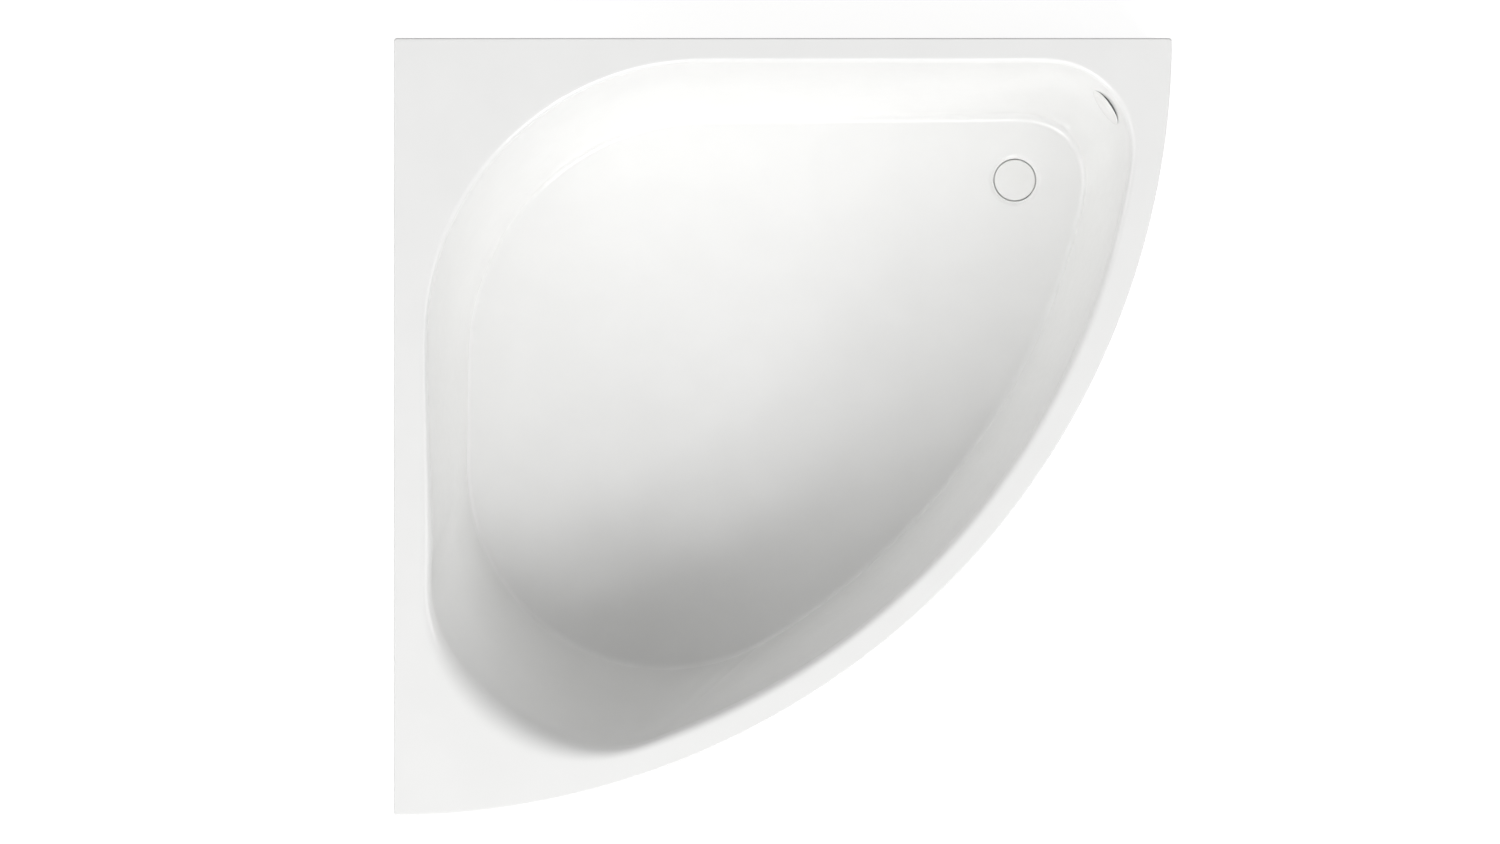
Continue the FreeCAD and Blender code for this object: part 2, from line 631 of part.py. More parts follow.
def plug_cover():
    """Round cover with a low crown and a rounded edge."""
    high = COVER_HIGH
    rise = COVER_CROWN
    radius = (COVER_R ** 2 + rise ** 2) / (2 * rise)
    ball = Part.makeSphere(radius, Vector(WASTE.x, WASTE.y, high - radius + rise))
    disc = core(COVER_R, COVER_LOW, high + 2 * rise)
    disc = disc.common(ball)
    rims = [e for e in disc.Edges if e.BoundBox.XLength > 1.9 * COVER_R]
    return disc.makeFillet(COVER_EDGE, rims)


def plug_stem():
    """Stem under the cover, with a shoulder that carries the seal."""
    shoulder = core(SHOULDER_R, FLANGE_HIGH - SEAT_DEPTH, COVER_LOW)
    return fuse_all([core(STEM_R, STEM_LOW, COVER_LOW), shoulder])


def plug_seal():
    """Rubber ring round the stem's shoulder, its bevel just above the flange's seat."""
    inner = SHOULDER_R + RUN_FIT
    outer = BORE_R + SEAT_DEPTH - REST_GAP * math.sqrt(2)
    bevel = SEAT_DEPTH - 1
    return turned([(inner, FLANGE_HIGH - bevel), (outer - bevel, FLANGE_HIGH - bevel),
                   (outer, FLANGE_HIGH), (outer, COVER_LOW), (inner, COVER_LOW)], WASTE)


def rocker():
    """Lever under the stem: it turns on a pin and lifts the stem with a round bump."""
    place = Placement(Vector(WASTE.x, WASTE.y, PIVOT_Z), Rotation(Vector(1, 0, 0), SIDEWAYS))
    bar = Part.makeBox(LEVER_ARM + LEVER_REACH, LEVER_W, LEVER_T,
                       Vector(-LEVER_ARM, -LEVER_W / 2, -LEVER_T / 2))
    eye = rod(2.4 * PIN_R, Vector(-LEVER_ARM, -LEVER_W / 2, 0), Vector(0, 1, 0), LEVER_W)
    bump = rod(BUMP_R, Vector(0, -LEVER_W / 2, LEVER_T / 2), Vector(0, 1, 0), LEVER_W)
    lever = fuse_all([bar, eye, bump])
    lever = lever.cut(rod(PIN_R + RUN_FIT, Vector(-LEVER_ARM, -LEVER_W, 0),
                          Vector(0, 1, 0), 2 * LEVER_W))
    lever.Placement = place
    return lever


PIVOT = Vector(WASTE.x, WASTE.y, PIVOT_Z) - SIDEWAYS * LEVER_ARM


def rocker_pin(radius=PIN_R):
    """Pin across the chamber on which the rocker turns."""
    half = math.sqrt((CHAMBER_R - CHAMBER_WALL / 2) ** 2 - LEVER_ARM ** 2)
    return rod(radius, PIVOT - OUTWARD * half, OUTWARD, 2 * half)


def waste_body():
    """Chamber under the tub: top flange, hose inlet, cable gland, trap lid and dip tube."""
    inner = CHAMBER_R - CHAMBER_WALL
    collar = NECK_R + RUN_FIT
    lid_low = CHAMBER_LOW - LID_T
    centre = Vector(WASTE.x, WASTE.y, INLET_Z)
    gland = Vector(WASTE.x, WASTE.y, PIVOT_Z) + SIDEWAYS * CABLE_SIDE
    start = CHAMBER_R - CHAMBER_WALL / 2
    pieces = [ring(WELL_R - 1, collar, BODY_TOP - BODY_FLANGE_T, BODY_TOP),
              ring(CHAMBER_R, collar, BODY_TOP - COLLAR_DEPTH, BODY_TOP),
              ring(CHAMBER_R, inner, CHAMBER_LOW, BODY_TOP),
              ring(TRAP_R, DIP_R - TRAP_WALL, lid_low, CHAMBER_LOW),
              ring(TRAP_R, TRAP_R - TRAP_WALL, lid_low - LID_SKIRT, CHAMBER_LOW),
              ring(DIP_R, DIP_R - TRAP_WALL, CHAMBER_LOW - DIP_LENGTH, CHAMBER_LOW),
              rod(STUB_R, centre + OUTWARD * start, OUTWARD, HOSE_INLET - start),
              rod(CABLE_GLAND_R, gland + OUTWARD * CABLE_GLAND_R, OUTWARD,
                  CABLE_GLAND - CABLE_GLAND_R)]
    body = fuse_all(pieces)
    bores = [rod(STUB_R - STUB_WALL, centre + OUTWARD * inner * 0.9, OUTWARD, HOSE_INLET),
             rod(CABLE_R / 2, gland, OUTWARD, CABLE_GLAND),
             core(inner, CHAMBER_LOW, BODY_TOP - COLLAR_DEPTH),
             rocker_pin(PIN_R + RUN_FIT)]
    return body.cut(bores)


def trap_cup():
    """Cup of the trap under the dip tube, with its outlet stub towards the back wall."""
    outer = TRAP_R - TRAP_WALL - RUN_FIT
    low = TRAP_TOP - TRAP_DEPTH
    inside = outer - TRAP_WALL
    bottom = low + TRAP_WALL
    cup = turned([(0, low), (outer - TRAP_CORNER, low), (outer, low + TRAP_CORNER),
                  (outer, TRAP_TOP), (0, TRAP_TOP)], WASTE)
    cup = fuse_all([cup, rod(OUTLET_R + TRAP_WALL, OUTLET, BACK, STUB_END)])
    corner = TRAP_CORNER - TRAP_WALL / 2
    hollow = turned([(0, bottom), (inside - corner, bottom), (inside, bottom + corner),
                     (inside, TRAP_TOP), (0, TRAP_TOP)], WASTE)
    return cup.cut([hollow, rod(OUTLET_R + RUN_FIT, OUTLET, BACK, 2 * TRAP_R)])


OUTLET = Vector(WASTE.x, WASTE.y, TRAP_TOP - OUTLET_DROP)
STUB_END = TRAP_R - TRAP_WALL - RUN_FIT + OUTLET_STUB


def outlet_pipe():
    """Waste pipe from the trap to near the back wall."""
    start = OUTLET + BACK * (STUB_END - OUTLET_STUB + TRAP_WALL)
    end = HALF - OUTLET_TO_WALL
    tube = rod(OUTLET_R, start, BACK, end - start.y)
    stop = Vector(start.x, end - OUTLET_FREE - STOP_RING, start.z)
    tube = fuse_all([tube, rod(OUTLET_R + STOP_RING / 2, stop, BACK, STOP_RING)])
    return tube.cut(rod(OUTLET_R - PIPE_WALL, start, BACK, end - start.y))


def outlet_nut():
    """Ribbed slip nut over the outlet stub."""
    start = OUTLET + BACK * (STUB_END - OUTLET_NUT_HOLD)
    outer = OUTLET_R + TRAP_WALL + OUTLET_NUT_WALL
    nut = rod(outer, start, BACK, OUTLET_NUT_LENGTH)
    for k in range(GRIPS):
        angle = 2 * math.pi * k / GRIPS
        side = Vector(math.cos(angle), 0, math.sin(angle)) * outer
        nut = nut.cut(rod(GRIP_R, start + side, BACK, OUTLET_NUT_LENGTH))
    hold = OUTLET_NUT_HOLD + OUTLET_SEAL_T
    nut = nut.cut(rod(OUTLET_R + TRAP_WALL + RUN_FIT, start, BACK, hold))
    return nut.cut(rod(OUTLET_R + RUN_FIT, start, BACK, OUTLET_NUT_LENGTH))


def outlet_seal():
    """Rubber ring between the outlet stub and its nut."""
    start = OUTLET + BACK * STUB_END
    return pipe(OUTLET_R + TRAP_WALL, OUTLET_R + RUN_FIT, start, BACK, OUTLET_SEAL_T)


# ---------------------------------------------------------------- overflow
def overflow_rosette():
    """Round knob that covers the overflow and turns to lift the plug."""
    low = ROSETTE_GAP
    high = ROSETTE_GAP + ROSETTE_T
    inside = ROSETTE_R - ROSETTE_WALL
    knob = turned([(0, low), (ROSETTE_BOSS_R, low), (ROSETTE_BOSS_R, high - ROSETTE_FACE + 1),
                   (inside, high - ROSETTE_FACE), (inside, low), (ROSETTE_R, low),
                   (ROSETTE_R, high - ROSETTE_FACE + 1),
                   (ROSETTE_R - ROSETTE_SLOPE / 3, high - 1.6),
                   (ROSETTE_R - ROSETTE_SLOPE, high - 0.6), (0, high)], Vector(0, 0, 0))
    return on_overflow(knob)


def overflow_spindle():
    """Spindle from the knob through the faceplate to the back of the overflow's body."""
    return on_overflow(rod(STEM_R, Vector(0, 0, BODY_BACK + 1), UP, ROSETTE_GAP - BODY_BACK - 1))


def overflow_screw_axes():
    """Feet of the two screw axes in the overflow's own frame."""
    return [Vector(way * SCREW_RING, 0, 0) for way in (-1, 1)]


def overflow_faceplate():
    """Flat plate on the wall with water holes, a spindle bush and two screw holes."""
    plate = rod(FACEPLATE_R, Vector(0, 0, -PAD_DEPTH), UP, FACEPLATE_T)
    holes = [rod(STEM_R + RUN_FIT, Vector(0, 0, -PAD_DEPTH), UP, FACEPLATE_T)]
    for k in range(WATER_HOLES):
        angle = 2 * math.pi * (k + 0.5) / WATER_HOLES
        place = Vector(SCREW_RING * math.cos(angle), SCREW_RING * math.sin(angle), -PAD_DEPTH)
        holes.append(rod(WATER_HOLE_R, place, UP, FACEPLATE_T))
    holes += [rod(SCREW_R + RUN_FIT, axis - UP * PAD_DEPTH, UP, FACEPLATE_T)
              for axis in overflow_screw_axes()]
    return on_overflow(plate.cut(holes))


def overflow_screws():
    """Two screws from the faceplate into the overflow's body."""
    seat = FACEPLATE_T - PAD_DEPTH
    screws = []
    for axis in overflow_screw_axes():
        tip = SEAL_BACK - OVERFLOW_SCREW
        shank = rod(SCREW_R, axis + UP * tip, UP, seat - tip)
        head = rod(SCREW_HEAD_R, axis + UP * seat, UP, SCREW_HEAD_T)
        screws.append(on_overflow(fuse_all([shank, head])))
    return Part.makeCompound(screws)


def overflow_seal():
    """Rubber ring between the tub's back and the overflow's body."""
    start = Vector(0, 0, SEAL_BACK)
    return on_overflow(pipe(PAD_R, OVERFLOW_HOLE_R, start, UP, OVERFLOW_SEAL_T))


def overflow_body():
    """Round housing behind the tub with a hose stub, a cable gland and two screw bosses."""
    wall = OVERFLOW_WALL
    cup = rod(OVERFLOW_BODY_R, Vector(0, 0, BODY_BACK), UP, OVERFLOW_BODY_T)
    flange = rod(PAD_R, Vector(0, 0, SEAL_BACK - wall), UP, wall)
    hollow = rod(OVERFLOW_BODY_R - wall, Vector(0, 0, BODY_BACK + wall), UP, OVERFLOW_BODY_T)
    bosses = [rod(SCREW_HEAD_R + 1, axis + UP * BODY_BACK, UP, OVERFLOW_BODY_T)
              for axis in overflow_screw_axes()]
    down = Vector(0, 0, -1)
    stub = rod(STUB_R, STUB_TOP, down, OVERFLOW_STUB)
    gland_top = STUB_TOP + SIDEWAYS * CABLE_SIDE + down * CABLE_GLAND_R
    gland = rod(CABLE_GLAND_R, gland_top, down, CABLE_GLAND - CABLE_GLAND_R)
    body = fuse_all([on_overflow(cup), on_overflow(flange), stub, gland])
    body = body.cut(on_overflow(hollow))
    body = fuse_all([body] + [on_overflow(boss) for boss in bosses])
    cuts = [on_overflow(rod(STEM_R + RUN_FIT, Vector(0, 0, BODY_BACK), UP, OVERFLOW_BODY_T)),
            rod(STUB_R - STUB_WALL, STUB_TOP, down, OVERFLOW_STUB),
            rod(CABLE_R / 2, gland_top, down, CABLE_GLAND)]
    hole = OVERFLOW_SCREW + 1
    cuts += [on_overflow(rod(SCREW_R + RUN_FIT, axis + UP * (SEAL_BACK - hole), UP, 2 * hole))
             for axis in overflow_screw_axes()]
    return body.cut(cuts)


# ---------------------------------------------------------------- hose and cable
def hose_inlet():
    """Lower end of the hose, on the waste body's stub."""
    return Vector(WASTE.x, WASTE.y, INLET_Z) + OUTWARD * HOSE_INLET


def hose_route():
    """Ends and corner of the hose: straight down, one round bend and level to the waste."""
    top = STUB_TOP - UP * OVERFLOW_STUB
    low = hose_inlet()
    return top, Vector(top.x, top.y, low.z), low


def bent_path(top, corner, low, bend):
    """Two straight runs joined by a tangent arc of a quarter turn."""
    down = (corner - top).normalize()
    level = (low - corner).normalize()
    first = corner - down * bend
    last = corner + level * bend
    middle = corner + (level - down) * bend + (down - level).normalize() * bend
    return [Part.LineSegment(top, first).toShape(), Part.Arc(first, middle, last).toShape(),
            Part.LineSegment(last, low).toShape()]


def round_tube(edges, radius):
    """Solid round bar along a path of straight and round edges."""
    pieces = []
    for edge in edges:
        start = edge.valueAt(edge.FirstParameter)
        heading = edge.tangentAt(edge.FirstParameter)
        disc = Part.Face(Part.Wire(Part.makeCircle(radius, start, heading)))
        if edge.Curve.TypeId == "Part::GeomLine":
            pieces.append(disc.extrude(edge.valueAt(edge.LastParameter) - start))
        else:
            circle = edge.Curve
            turn = math.degrees(edge.LastParameter - edge.FirstParameter)
            pieces.append(disc.revolve(circle.Center, circle.Axis, turn))
    return fuse_all(pieces)


def path_point(edges, length):
    """Point and heading at a length along a path."""
    for edge in edges:
        if length <= edge.Length or edge is edges[-1]:
            where = edge.getParameterByLength(min(length, edge.Length))
            return edge.valueAt(where), edge.tangentAt(where)
        length -= edge.Length


def overflow_hose():
    """Ribbed hose: plain cuffs one diameter long, and ribs of four circles each between."""
    top, corner, low = hose_route()
    edges = bent_path(top, corner, low, HOSE_BEND)
    total = sum(edge.Length for edge in edges)
    cuff = 2 * HOSE_R
    count = int((total - 2 * cuff) / HOSE_RIB_PITCH)
    pitch = (total - 2 * cuff) / count
    places = [(0.0, HOSE_R), (cuff - pitch / 2, HOSE_R)]
    for rib in range(count):
        start = cuff + rib * pitch
        places += [(start, HOSE_VALLEY_R), (start + 0.3 * pitch, HOSE_R),
                   (start + 0.6 * pitch, HOSE_R), (start + 0.9 * pitch, HOSE_VALLEY_R)]
    places += [(total - cuff + pitch / 2, HOSE_R), (total, HOSE_R)]
    steady = OUTWARD.cross(UP)
    wires = []
    for length, radius in places:
        point, heading = path_point(edges, length)
        circle = Part.Circle(point, heading, radius)
        circle.XAxis = steady
        wires.append(Part.Wire(circle.toShape()))
    ribbed = Part.makeLoft(wires, True, True)
    print("overflow hose length", round(total, 1), "bend radius", HOSE_BEND, "ribs", count)
    return ribbed.cut(round_tube(edges, HOSE_BORE_R))


def hose_nuts():
    """Two slip nuts, one over each end of the hose."""
    top, corner, low = hose_route()
    nuts = []
    for end, way in ((top, UP), (low, OUTWARD * -1)):
        start = end - way * (NUT_LENGTH / 2)
        nut = rod(NUT_R, start, way, NUT_LENGTH)
        nuts.append(nut.cut(rod(STUB_R + RUN_FIT, start, way, NUT_LENGTH)))
    return Part.makeCompound(nuts)


def bowden_cable():
    """Sheathed cable from the overflow's body to the waste's chamber."""
    side = SIDEWAYS * CABLE_SIDE
    top = STUB_TOP + side - UP * CABLE_GLAND
    low = Vector(WASTE.x, WASTE.y, PIVOT_Z) + side + OUTWARD * CABLE_GLAND
    corner = Vector(top.x, top.y, low.z)
    bend = 0.45 * min((corner - top).Length, (low - corner).Length)
    edges = bent_path(top, corner, low, bend)
    print("cable length", round(sum(edge.Length for edge in edges), 1), "bend", round(bend, 1))
    return round_tube(edges, CABLE_R)


# ---------------------------------------------------------------- battens, blocks and apron
def batten_back():
    """Batten under the rim along the back wall."""
    start = ACRYLIC + BATTEN_CLEAR
    width = EDGE_BACK - ACRYLIC - LAMINATE - 2 * BATTEN_CLEAR - start
    return Part.makeBox(TUB_SIDE - 2 * BATTEN_END, width, BATTEN_HEIGHT,
                        plan(BATTEN_END, start + width, RIM_UNDERSIDE - BATTEN_HEIGHT))


def batten_left():
    """Batten under the rim along the left wall."""
    start = ACRYLIC + BATTEN_CLEAR
    width = EDGE_LEFT - ACRYLIC - LAMINATE - 2 * BATTEN_CLEAR - start
    return Part.makeBox(width, TUB_SIDE - 2 * BATTEN_END, BATTEN_HEIGHT,
                        plan(start, TUB_SIDE - BATTEN_END, RIM_UNDERSIDE - BATTEN_HEIGHT))


def towards_front(angle, radius, z):
    """Point at a radius from the room corner, angle from the back wall."""
    turn = math.radians(angle)
    return plan(radius * math.cos(turn), radius * math.sin(turn), z)


def on_front(shape, angle, radius, z):
    """Place a shape made at the origin, its +X pointing outwards, near the round front."""
    moved = shape.copy()
    moved.Placement = Placement(towards_front(angle, radius, z), Rotation(UP, -angle))
    return moved


BLOCK_OUT = PANEL_R - PANEL_T - 2 * CLIP_CLEAR - 2 * CLIP_T


def rim_block(angle):
    """Block under the round front of the rim that takes a panel clip's screw."""
    block = Part.makeBox(BLOCK_WIDTH, BLOCK_LENGTH, BLOCK_HEIGHT,
                         Vector(-BLOCK_WIDTH, -BLOCK_LENGTH / 2, -BLOCK_HEIGHT))
    pilot = rod(SCREW_R + RUN_FIT, Vector(0, 0, -BLOCK_HEIGHT / 2), Vector(-1, 0, 0), SCREW_LENGTH)
    return on_front(block.cut(pilot), angle, BLOCK_OUT, RIM_UNDERSIDE)


def panel_clip(angle):
    """Sprung steel clip: a plate on the block and a tongue against the apron."""
    half = CLIP_WIDTH / 2
    plate = Part.makeBox(CLIP_T, CLIP_WIDTH, CLIP_HEIGHT, Vector(0, -half, -CLIP_HEIGHT))
    tongue = Part.makeBox(CLIP_T, CLIP_WIDTH, CLIP_HEIGHT - BLOCK_HEIGHT,
                          Vector(CLIP_T, -half, -CLIP_HEIGHT))
    hole = rod(SCREW_R + RUN_FIT, Vector(-1, 0, -BLOCK_HEIGHT / 2), Vector(1, 0, 0), 3 * CLIP_T)
    clip = fuse_all([plate, tongue]).cut(hole)
    return on_front(clip, angle, BLOCK_OUT, RIM_UNDERSIDE)


def clip_screw(angle):
    """Screw through a clip into its block."""
    shank = rod(SCREW_R, Vector(CLIP_T, 0, -BLOCK_HEIGHT / 2), Vector(-1, 0, 0), SCREW_LENGTH)
    head = rod(SCREW_HEAD_R, Vector(CLIP_T, 0, -BLOCK_HEIGHT / 2), Vector(1, 0, 0), CLIP_T)
    return on_front(fuse_all([shank, head]), angle, BLOCK_OUT, RIM_UNDERSIDE)


def front_panel():
    """Curved apron between floor and rim, behind the lip."""
    low = PANEL_TO_FLOOR
    high = RIM_UNDERSIDE - PANEL_GAP
    ends = ACRYLIC + PANEL_GAP
    outer = quarter(PANEL_R, ends, low, high)
    inner = quarter(PANEL_R - PANEL_T, ends - PANEL_T, low, high)
    return outer.cut(inner)


def panel_stays():
    """Flat bars from two rails to the foot of the apron, each with an end plate."""
    stays = []
    for v in RAIL_FROM_BACK[1:]:
        start, end = rail_span(v)
        angle = math.degrees(math.asin(v / (PANEL_R - PANEL_T)))
        face = PANEL_R - PANEL_T - STAY_GAP
        reach = face * math.cos(math.radians(angle))
        top = RAIL_BOTTOM
        bar = Part.makeBox(reach - end + FOOT_FROM_END / 3, STAY_WIDTH, STAY_T,
                           plan(end - FOOT_FROM_END / 3, v + STAY_WIDTH / 2, top - STAY_T))
        trim = quarter(face, -TUB_SIDE / 10, 0, RIM_TOP)
        plate = Part.makeBox(STAY_T, STAY_PLATE, STAY_PLATE,
                             Vector(-STAY_T, -STAY_PLATE / 2, -STAY_PLATE))
        plate = on_front(plate, angle, face, top)
        stays.append(fuse_all([bar.common(trim), plate]))
    return Part.makeCompound(stays)


# ---------------------------------------------------------------- all pieces
FEET = [(u, v) for v in RAIL_FROM_BACK for u in foot_places(v)]


def all_parts():
    """Every piece by its name."""
    screws = [place for v in RAIL_FROM_BACK for place in screw_places(v)]
    pilots = [rod(SCREW_R + RUN_FIT, plan(u, v, BOARD_BOTTOM), UP, SCREW_LENGTH)
              for u, v in screws]
    parts = {
        "acrylic_shell": acrylic_shell(),
        "laminate_backing": laminate_backing(),
        "base_board": base_board(pilots),
        "rim_batten_back": batten_back(),
        "rim_batten_left": batten_left(),
        "rail_screws": Part.makeCompound([rail_screw(u, v) for u, v in screws]),
        "waste_flange": waste_flange(),
        "waste_seal_upper": ring(FLANGE_R - 1, WASTE_HOLE_R, WELL_FLOOR, FLANGE_LOW),
        "waste_seal_lower": ring(WELL_R - 2, WASTE_HOLE_R, BODY_TOP, TUB_BACK_AT_WASTE),
        "waste_body": waste_body(),
        "trap_cup": trap_cup(),
        "outlet_pipe": outlet_pipe(),
        "outlet_nut": outlet_nut(),
        "outlet_seal": outlet_seal(),
        "plug_cover": plug_cover(),
        "plug_seal": plug_seal(),
        "plug_stem": plug_stem(),
        "rocker": rocker(),
        "rocker_pin": rocker_pin(),
        "overflow_rosette": overflow_rosette(),
        "overflow_spindle": overflow_spindle(),
        "overflow_faceplate": overflow_faceplate(),
        "overflow_screws": overflow_screws(),
        "overflow_seal": overflow_seal(),
        "overflow_body": overflow_body(),
        "overflow_hose": overflow_hose(),
        "hose_nuts": hose_nuts(),
        "bowden_cable": bowden_cable(),
        "front_panel": front_panel(),
        "panel_stays": panel_stays(),
        "panel_clip_screws": Part.makeCompound([clip_screw(a) for a in BLOCK_ANGLES]),
    }
    for name, v in zip(RAIL_NAMES, RAIL_FROM_BACK):
        parts[name] = rail(v)
    for number, (u, v) in enumerate(FEET, 1):
        parts[f"foot_{number}_pad"] = foot_pad(u, v)
        parts[f"foot_{number}_spindle"] = foot_spindle(u, v)
        parts[f"foot_{number}_nuts"] = foot_nuts(u, v)
    for number, angle in enumerate(BLOCK_ANGLES, 1):
        parts[f"rim_block_{number}"] = rim_block(angle)
        parts[f"panel_clip_{number}"] = panel_clip(angle)
    return parts


os.makedirs("parts", exist_ok=True)
for node, shape in all_parts().items():
    shape.exportStep(f"parts/{node}.step")
    print(node, shape.isValid(), len(shape.Solids), round(shape.Volume / 1000, 2), "cm3")
print("waste axis", WASTE, "overflow", OVERFLOW, "normal", NORMAL)
print("rocker pivot", PIVOT, "outward", OUTWARD, "outlet axis z", OUTLET.z)
for number, (u, v) in enumerate(FEET, 1):
    print("foot", number, plan(u, v))
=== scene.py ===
"""Looks of the corner bathtub: moulding, laminate, apron, waste, overflow, rails and feet.

Plan places are measured as a tub maker does, from the two room walls: u runs right from the
left wall, v runs forward from the back wall, both in metres. The frame's origin is on the
floor under the middle of the tub, +Z up, the back wall at +Y and the left wall at -X.
"""

import json
import math

import bpy
import numpy as np
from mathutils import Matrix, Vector


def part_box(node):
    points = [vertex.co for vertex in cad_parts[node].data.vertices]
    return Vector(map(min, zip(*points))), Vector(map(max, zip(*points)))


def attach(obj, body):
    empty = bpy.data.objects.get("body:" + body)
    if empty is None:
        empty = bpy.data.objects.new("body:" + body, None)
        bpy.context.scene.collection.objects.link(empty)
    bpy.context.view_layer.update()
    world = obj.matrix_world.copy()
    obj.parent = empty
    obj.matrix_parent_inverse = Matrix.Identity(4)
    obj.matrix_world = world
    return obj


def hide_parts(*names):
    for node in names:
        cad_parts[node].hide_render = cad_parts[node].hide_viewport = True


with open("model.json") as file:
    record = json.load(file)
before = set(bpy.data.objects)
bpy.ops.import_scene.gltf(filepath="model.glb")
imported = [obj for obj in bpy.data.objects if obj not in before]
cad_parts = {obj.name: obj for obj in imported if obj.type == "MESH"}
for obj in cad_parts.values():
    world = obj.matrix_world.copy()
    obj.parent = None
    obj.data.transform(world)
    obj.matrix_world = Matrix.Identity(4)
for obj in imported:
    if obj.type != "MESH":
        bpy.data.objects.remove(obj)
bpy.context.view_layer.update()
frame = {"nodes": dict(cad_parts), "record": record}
MM = 0.001
TAU = 2 * math.pi

# ---------------------------------------------------------------- sizes of the tub, in metres
SIDE = 1.4                   # length along each room wall, and radius of the round front
RIM_TOP = 0.6
TIP_ROUND = 6 * MM           # rounding of the rim's three corners in plan
LIP_HEIGHT = 38 * MM
LIP_ROUND = 3 * MM           # rounding of the lip's upper edge
ACRYLIC = 5 * MM             # wall of the moulding
BOND = 0.3 * MM              # bond line between the moulding and its laminate
LAMINATE = 3 * MM
BASIN_DEPTH = 0.43
FLOOR_FALL = 0.007           # the floor's fall towards the waste, rise per length


def outline_sizes(left, back, front, shift, **corners):
    """Distances of an outline to the walls and the front, and the radii of its corners.

    The front arc's centre lies shift away from both walls.
    """
    return {"left": left, "back": back, "shift": shift,
            "radius": SIDE - front - shift * math.sqrt(2), **corners}


EDGE_SIZES = outline_sizes(left=0.0475, back=0.035, front=0.035, shift=0.03,
                           back_left=0.511, back_right=0.166, front_left=0.299)
FLOOR_SIZES = outline_sizes(left=0.13, back=0.146, front=0.123, shift=0.017,
                            back_left=0.433, back_right=0.102, front_left=0.362)
# Radii of the wall's upper and lower turn where the outline's six stretches start: left
# line, back left arc, back line, back right arc, front arc, front left arc. Both swell in
# the middle of the front left arc.
ROLL_RADII = np.array((22, 12, 10, 10, 15, 20)) * MM
ROLL_SWELL = 36 * MM
FILLET_RADII = np.array((8, 6, 13, 22, 12, 16)) * MM
FILLET_SWELL = 4 * MM
EASE = 35 * MM               # length over which the outlines' curvature changes
WASTE_BACK = 0.2475          # back wall to the waste's axis
WASTE_TO_FRONT = 0.122       # waste's axis to the floor's edge, along the back wall
DISH_R = 47 * MM
DISH_DEPTH = 2 * MM
DISH_EASE = 1.5 * MM         # how far outside its radius the dish starts to sink
WELL_LIP = 0.6 * MM          # rounding of the well's upper edge
WELL_RING = 0.8 * MM         # level ring between dish and well
WELL_FOOT = 1 * MM           # rounding at the well's bottom
WELL_R = 39.4 * MM
WELL_DEPTH = 8 * MM
WASTE_HOLE_R = 26 * MM
COVER_R = 37 * MM
COVER_T = 2.5 * MM
COVER_CROWN = 1.2 * MM
COVER_DROP = 0.6 * MM
COVER_EDGE = 1.0 * MM
OVERFLOW_PLACE = (0.5868472, 0.5797932, 0.5197353)      # middle of the overflow on the wall
OVERFLOW_NORMAL = (-0.8090287, -0.5516458, 0.2028779)   # out of the wall there
SEAT_R = 34 * MM             # flat seat pressed into the wall behind the rosette
SEAT_DEPTH = 1.5 * MM
OVERFLOW_HOLE_R = 27 * MM
ROSETTE_R = 36.5 * MM
ROSETTE_GAP = 5.5 * MM
ROSETTE_RISE = 2.5 * MM      # middle of its face above the spindle's end
ROSETTE_EDGE = 1.8 * MM      # thickness of its rim
ROSETTE_LOW = 1.5 * MM       # how far the rim reaches down towards the wall
ROSETTE_ROUND = 0.8 * MM     # rounding of the face's edge
ROSETTE_BACK = 0.4 * MM      # chamfer of the rim's back
PANEL_R = 1.394
PANEL_T = 4 * MM
PANEL_END = 6 * MM           # apron's ends to the room walls
PANEL_LOW = 6 * MM
PANEL_HIGH = 0.5907
PANEL_EDGE = 1.0 * MM
RAIL_T = 2 * MM
RAIL_FLANGE = 18 * MM
RAIL_BEND = 3 * MM           # radius of the rail's bends at the middle of its sheet
THREAD_PITCH = 1.75 * MM
THREAD_DEPTH = 0.9 * MM
NUT_T = 8 * MM
NUT_FLATS = 18 * MM
NUT_FACE = 0.93              # its round face, as a share of the width over the flats
NUT_CHAMFER = 30             # degrees, on the corners of both faces
NUT_BORE_EDGE = 0.5 * MM
SOCKET_PLAY = 0.05 * MM      # between a spindle and its nuts or its foot's socket
SPINDLE_HOLE_PLAY = 0.5 * MM
PAD_RIBS = 8
PAD_RIB_T = 3 * MM
ROOM_LIGHT = 0.23            # strength of the room's own even light
FLOOR_GLOW = 0.87            # what the floor shows over its lit colour where it is seen
CAMERA_PLACE = (-0.0592, 0.0089, RIM_TOP + 22.494)

MIDDLE = (0.62, 0.52)        # a place inside the basin from which the rim's columns fan out
WASTE_U = (FLOOR_SIZES["shift"]
           + math.sqrt(FLOOR_SIZES["radius"] ** 2 - (WASTE_BACK - FLOOR_SIZES["shift"]) ** 2)
           - WASTE_TO_FRONT)


def model(u, v, z):
    """Points of the frame from distances to the left and the back wall."""
    return np.stack(np.broadcast_arrays(u - SIDE / 2, SIDE / 2 - v, z), axis=-1)


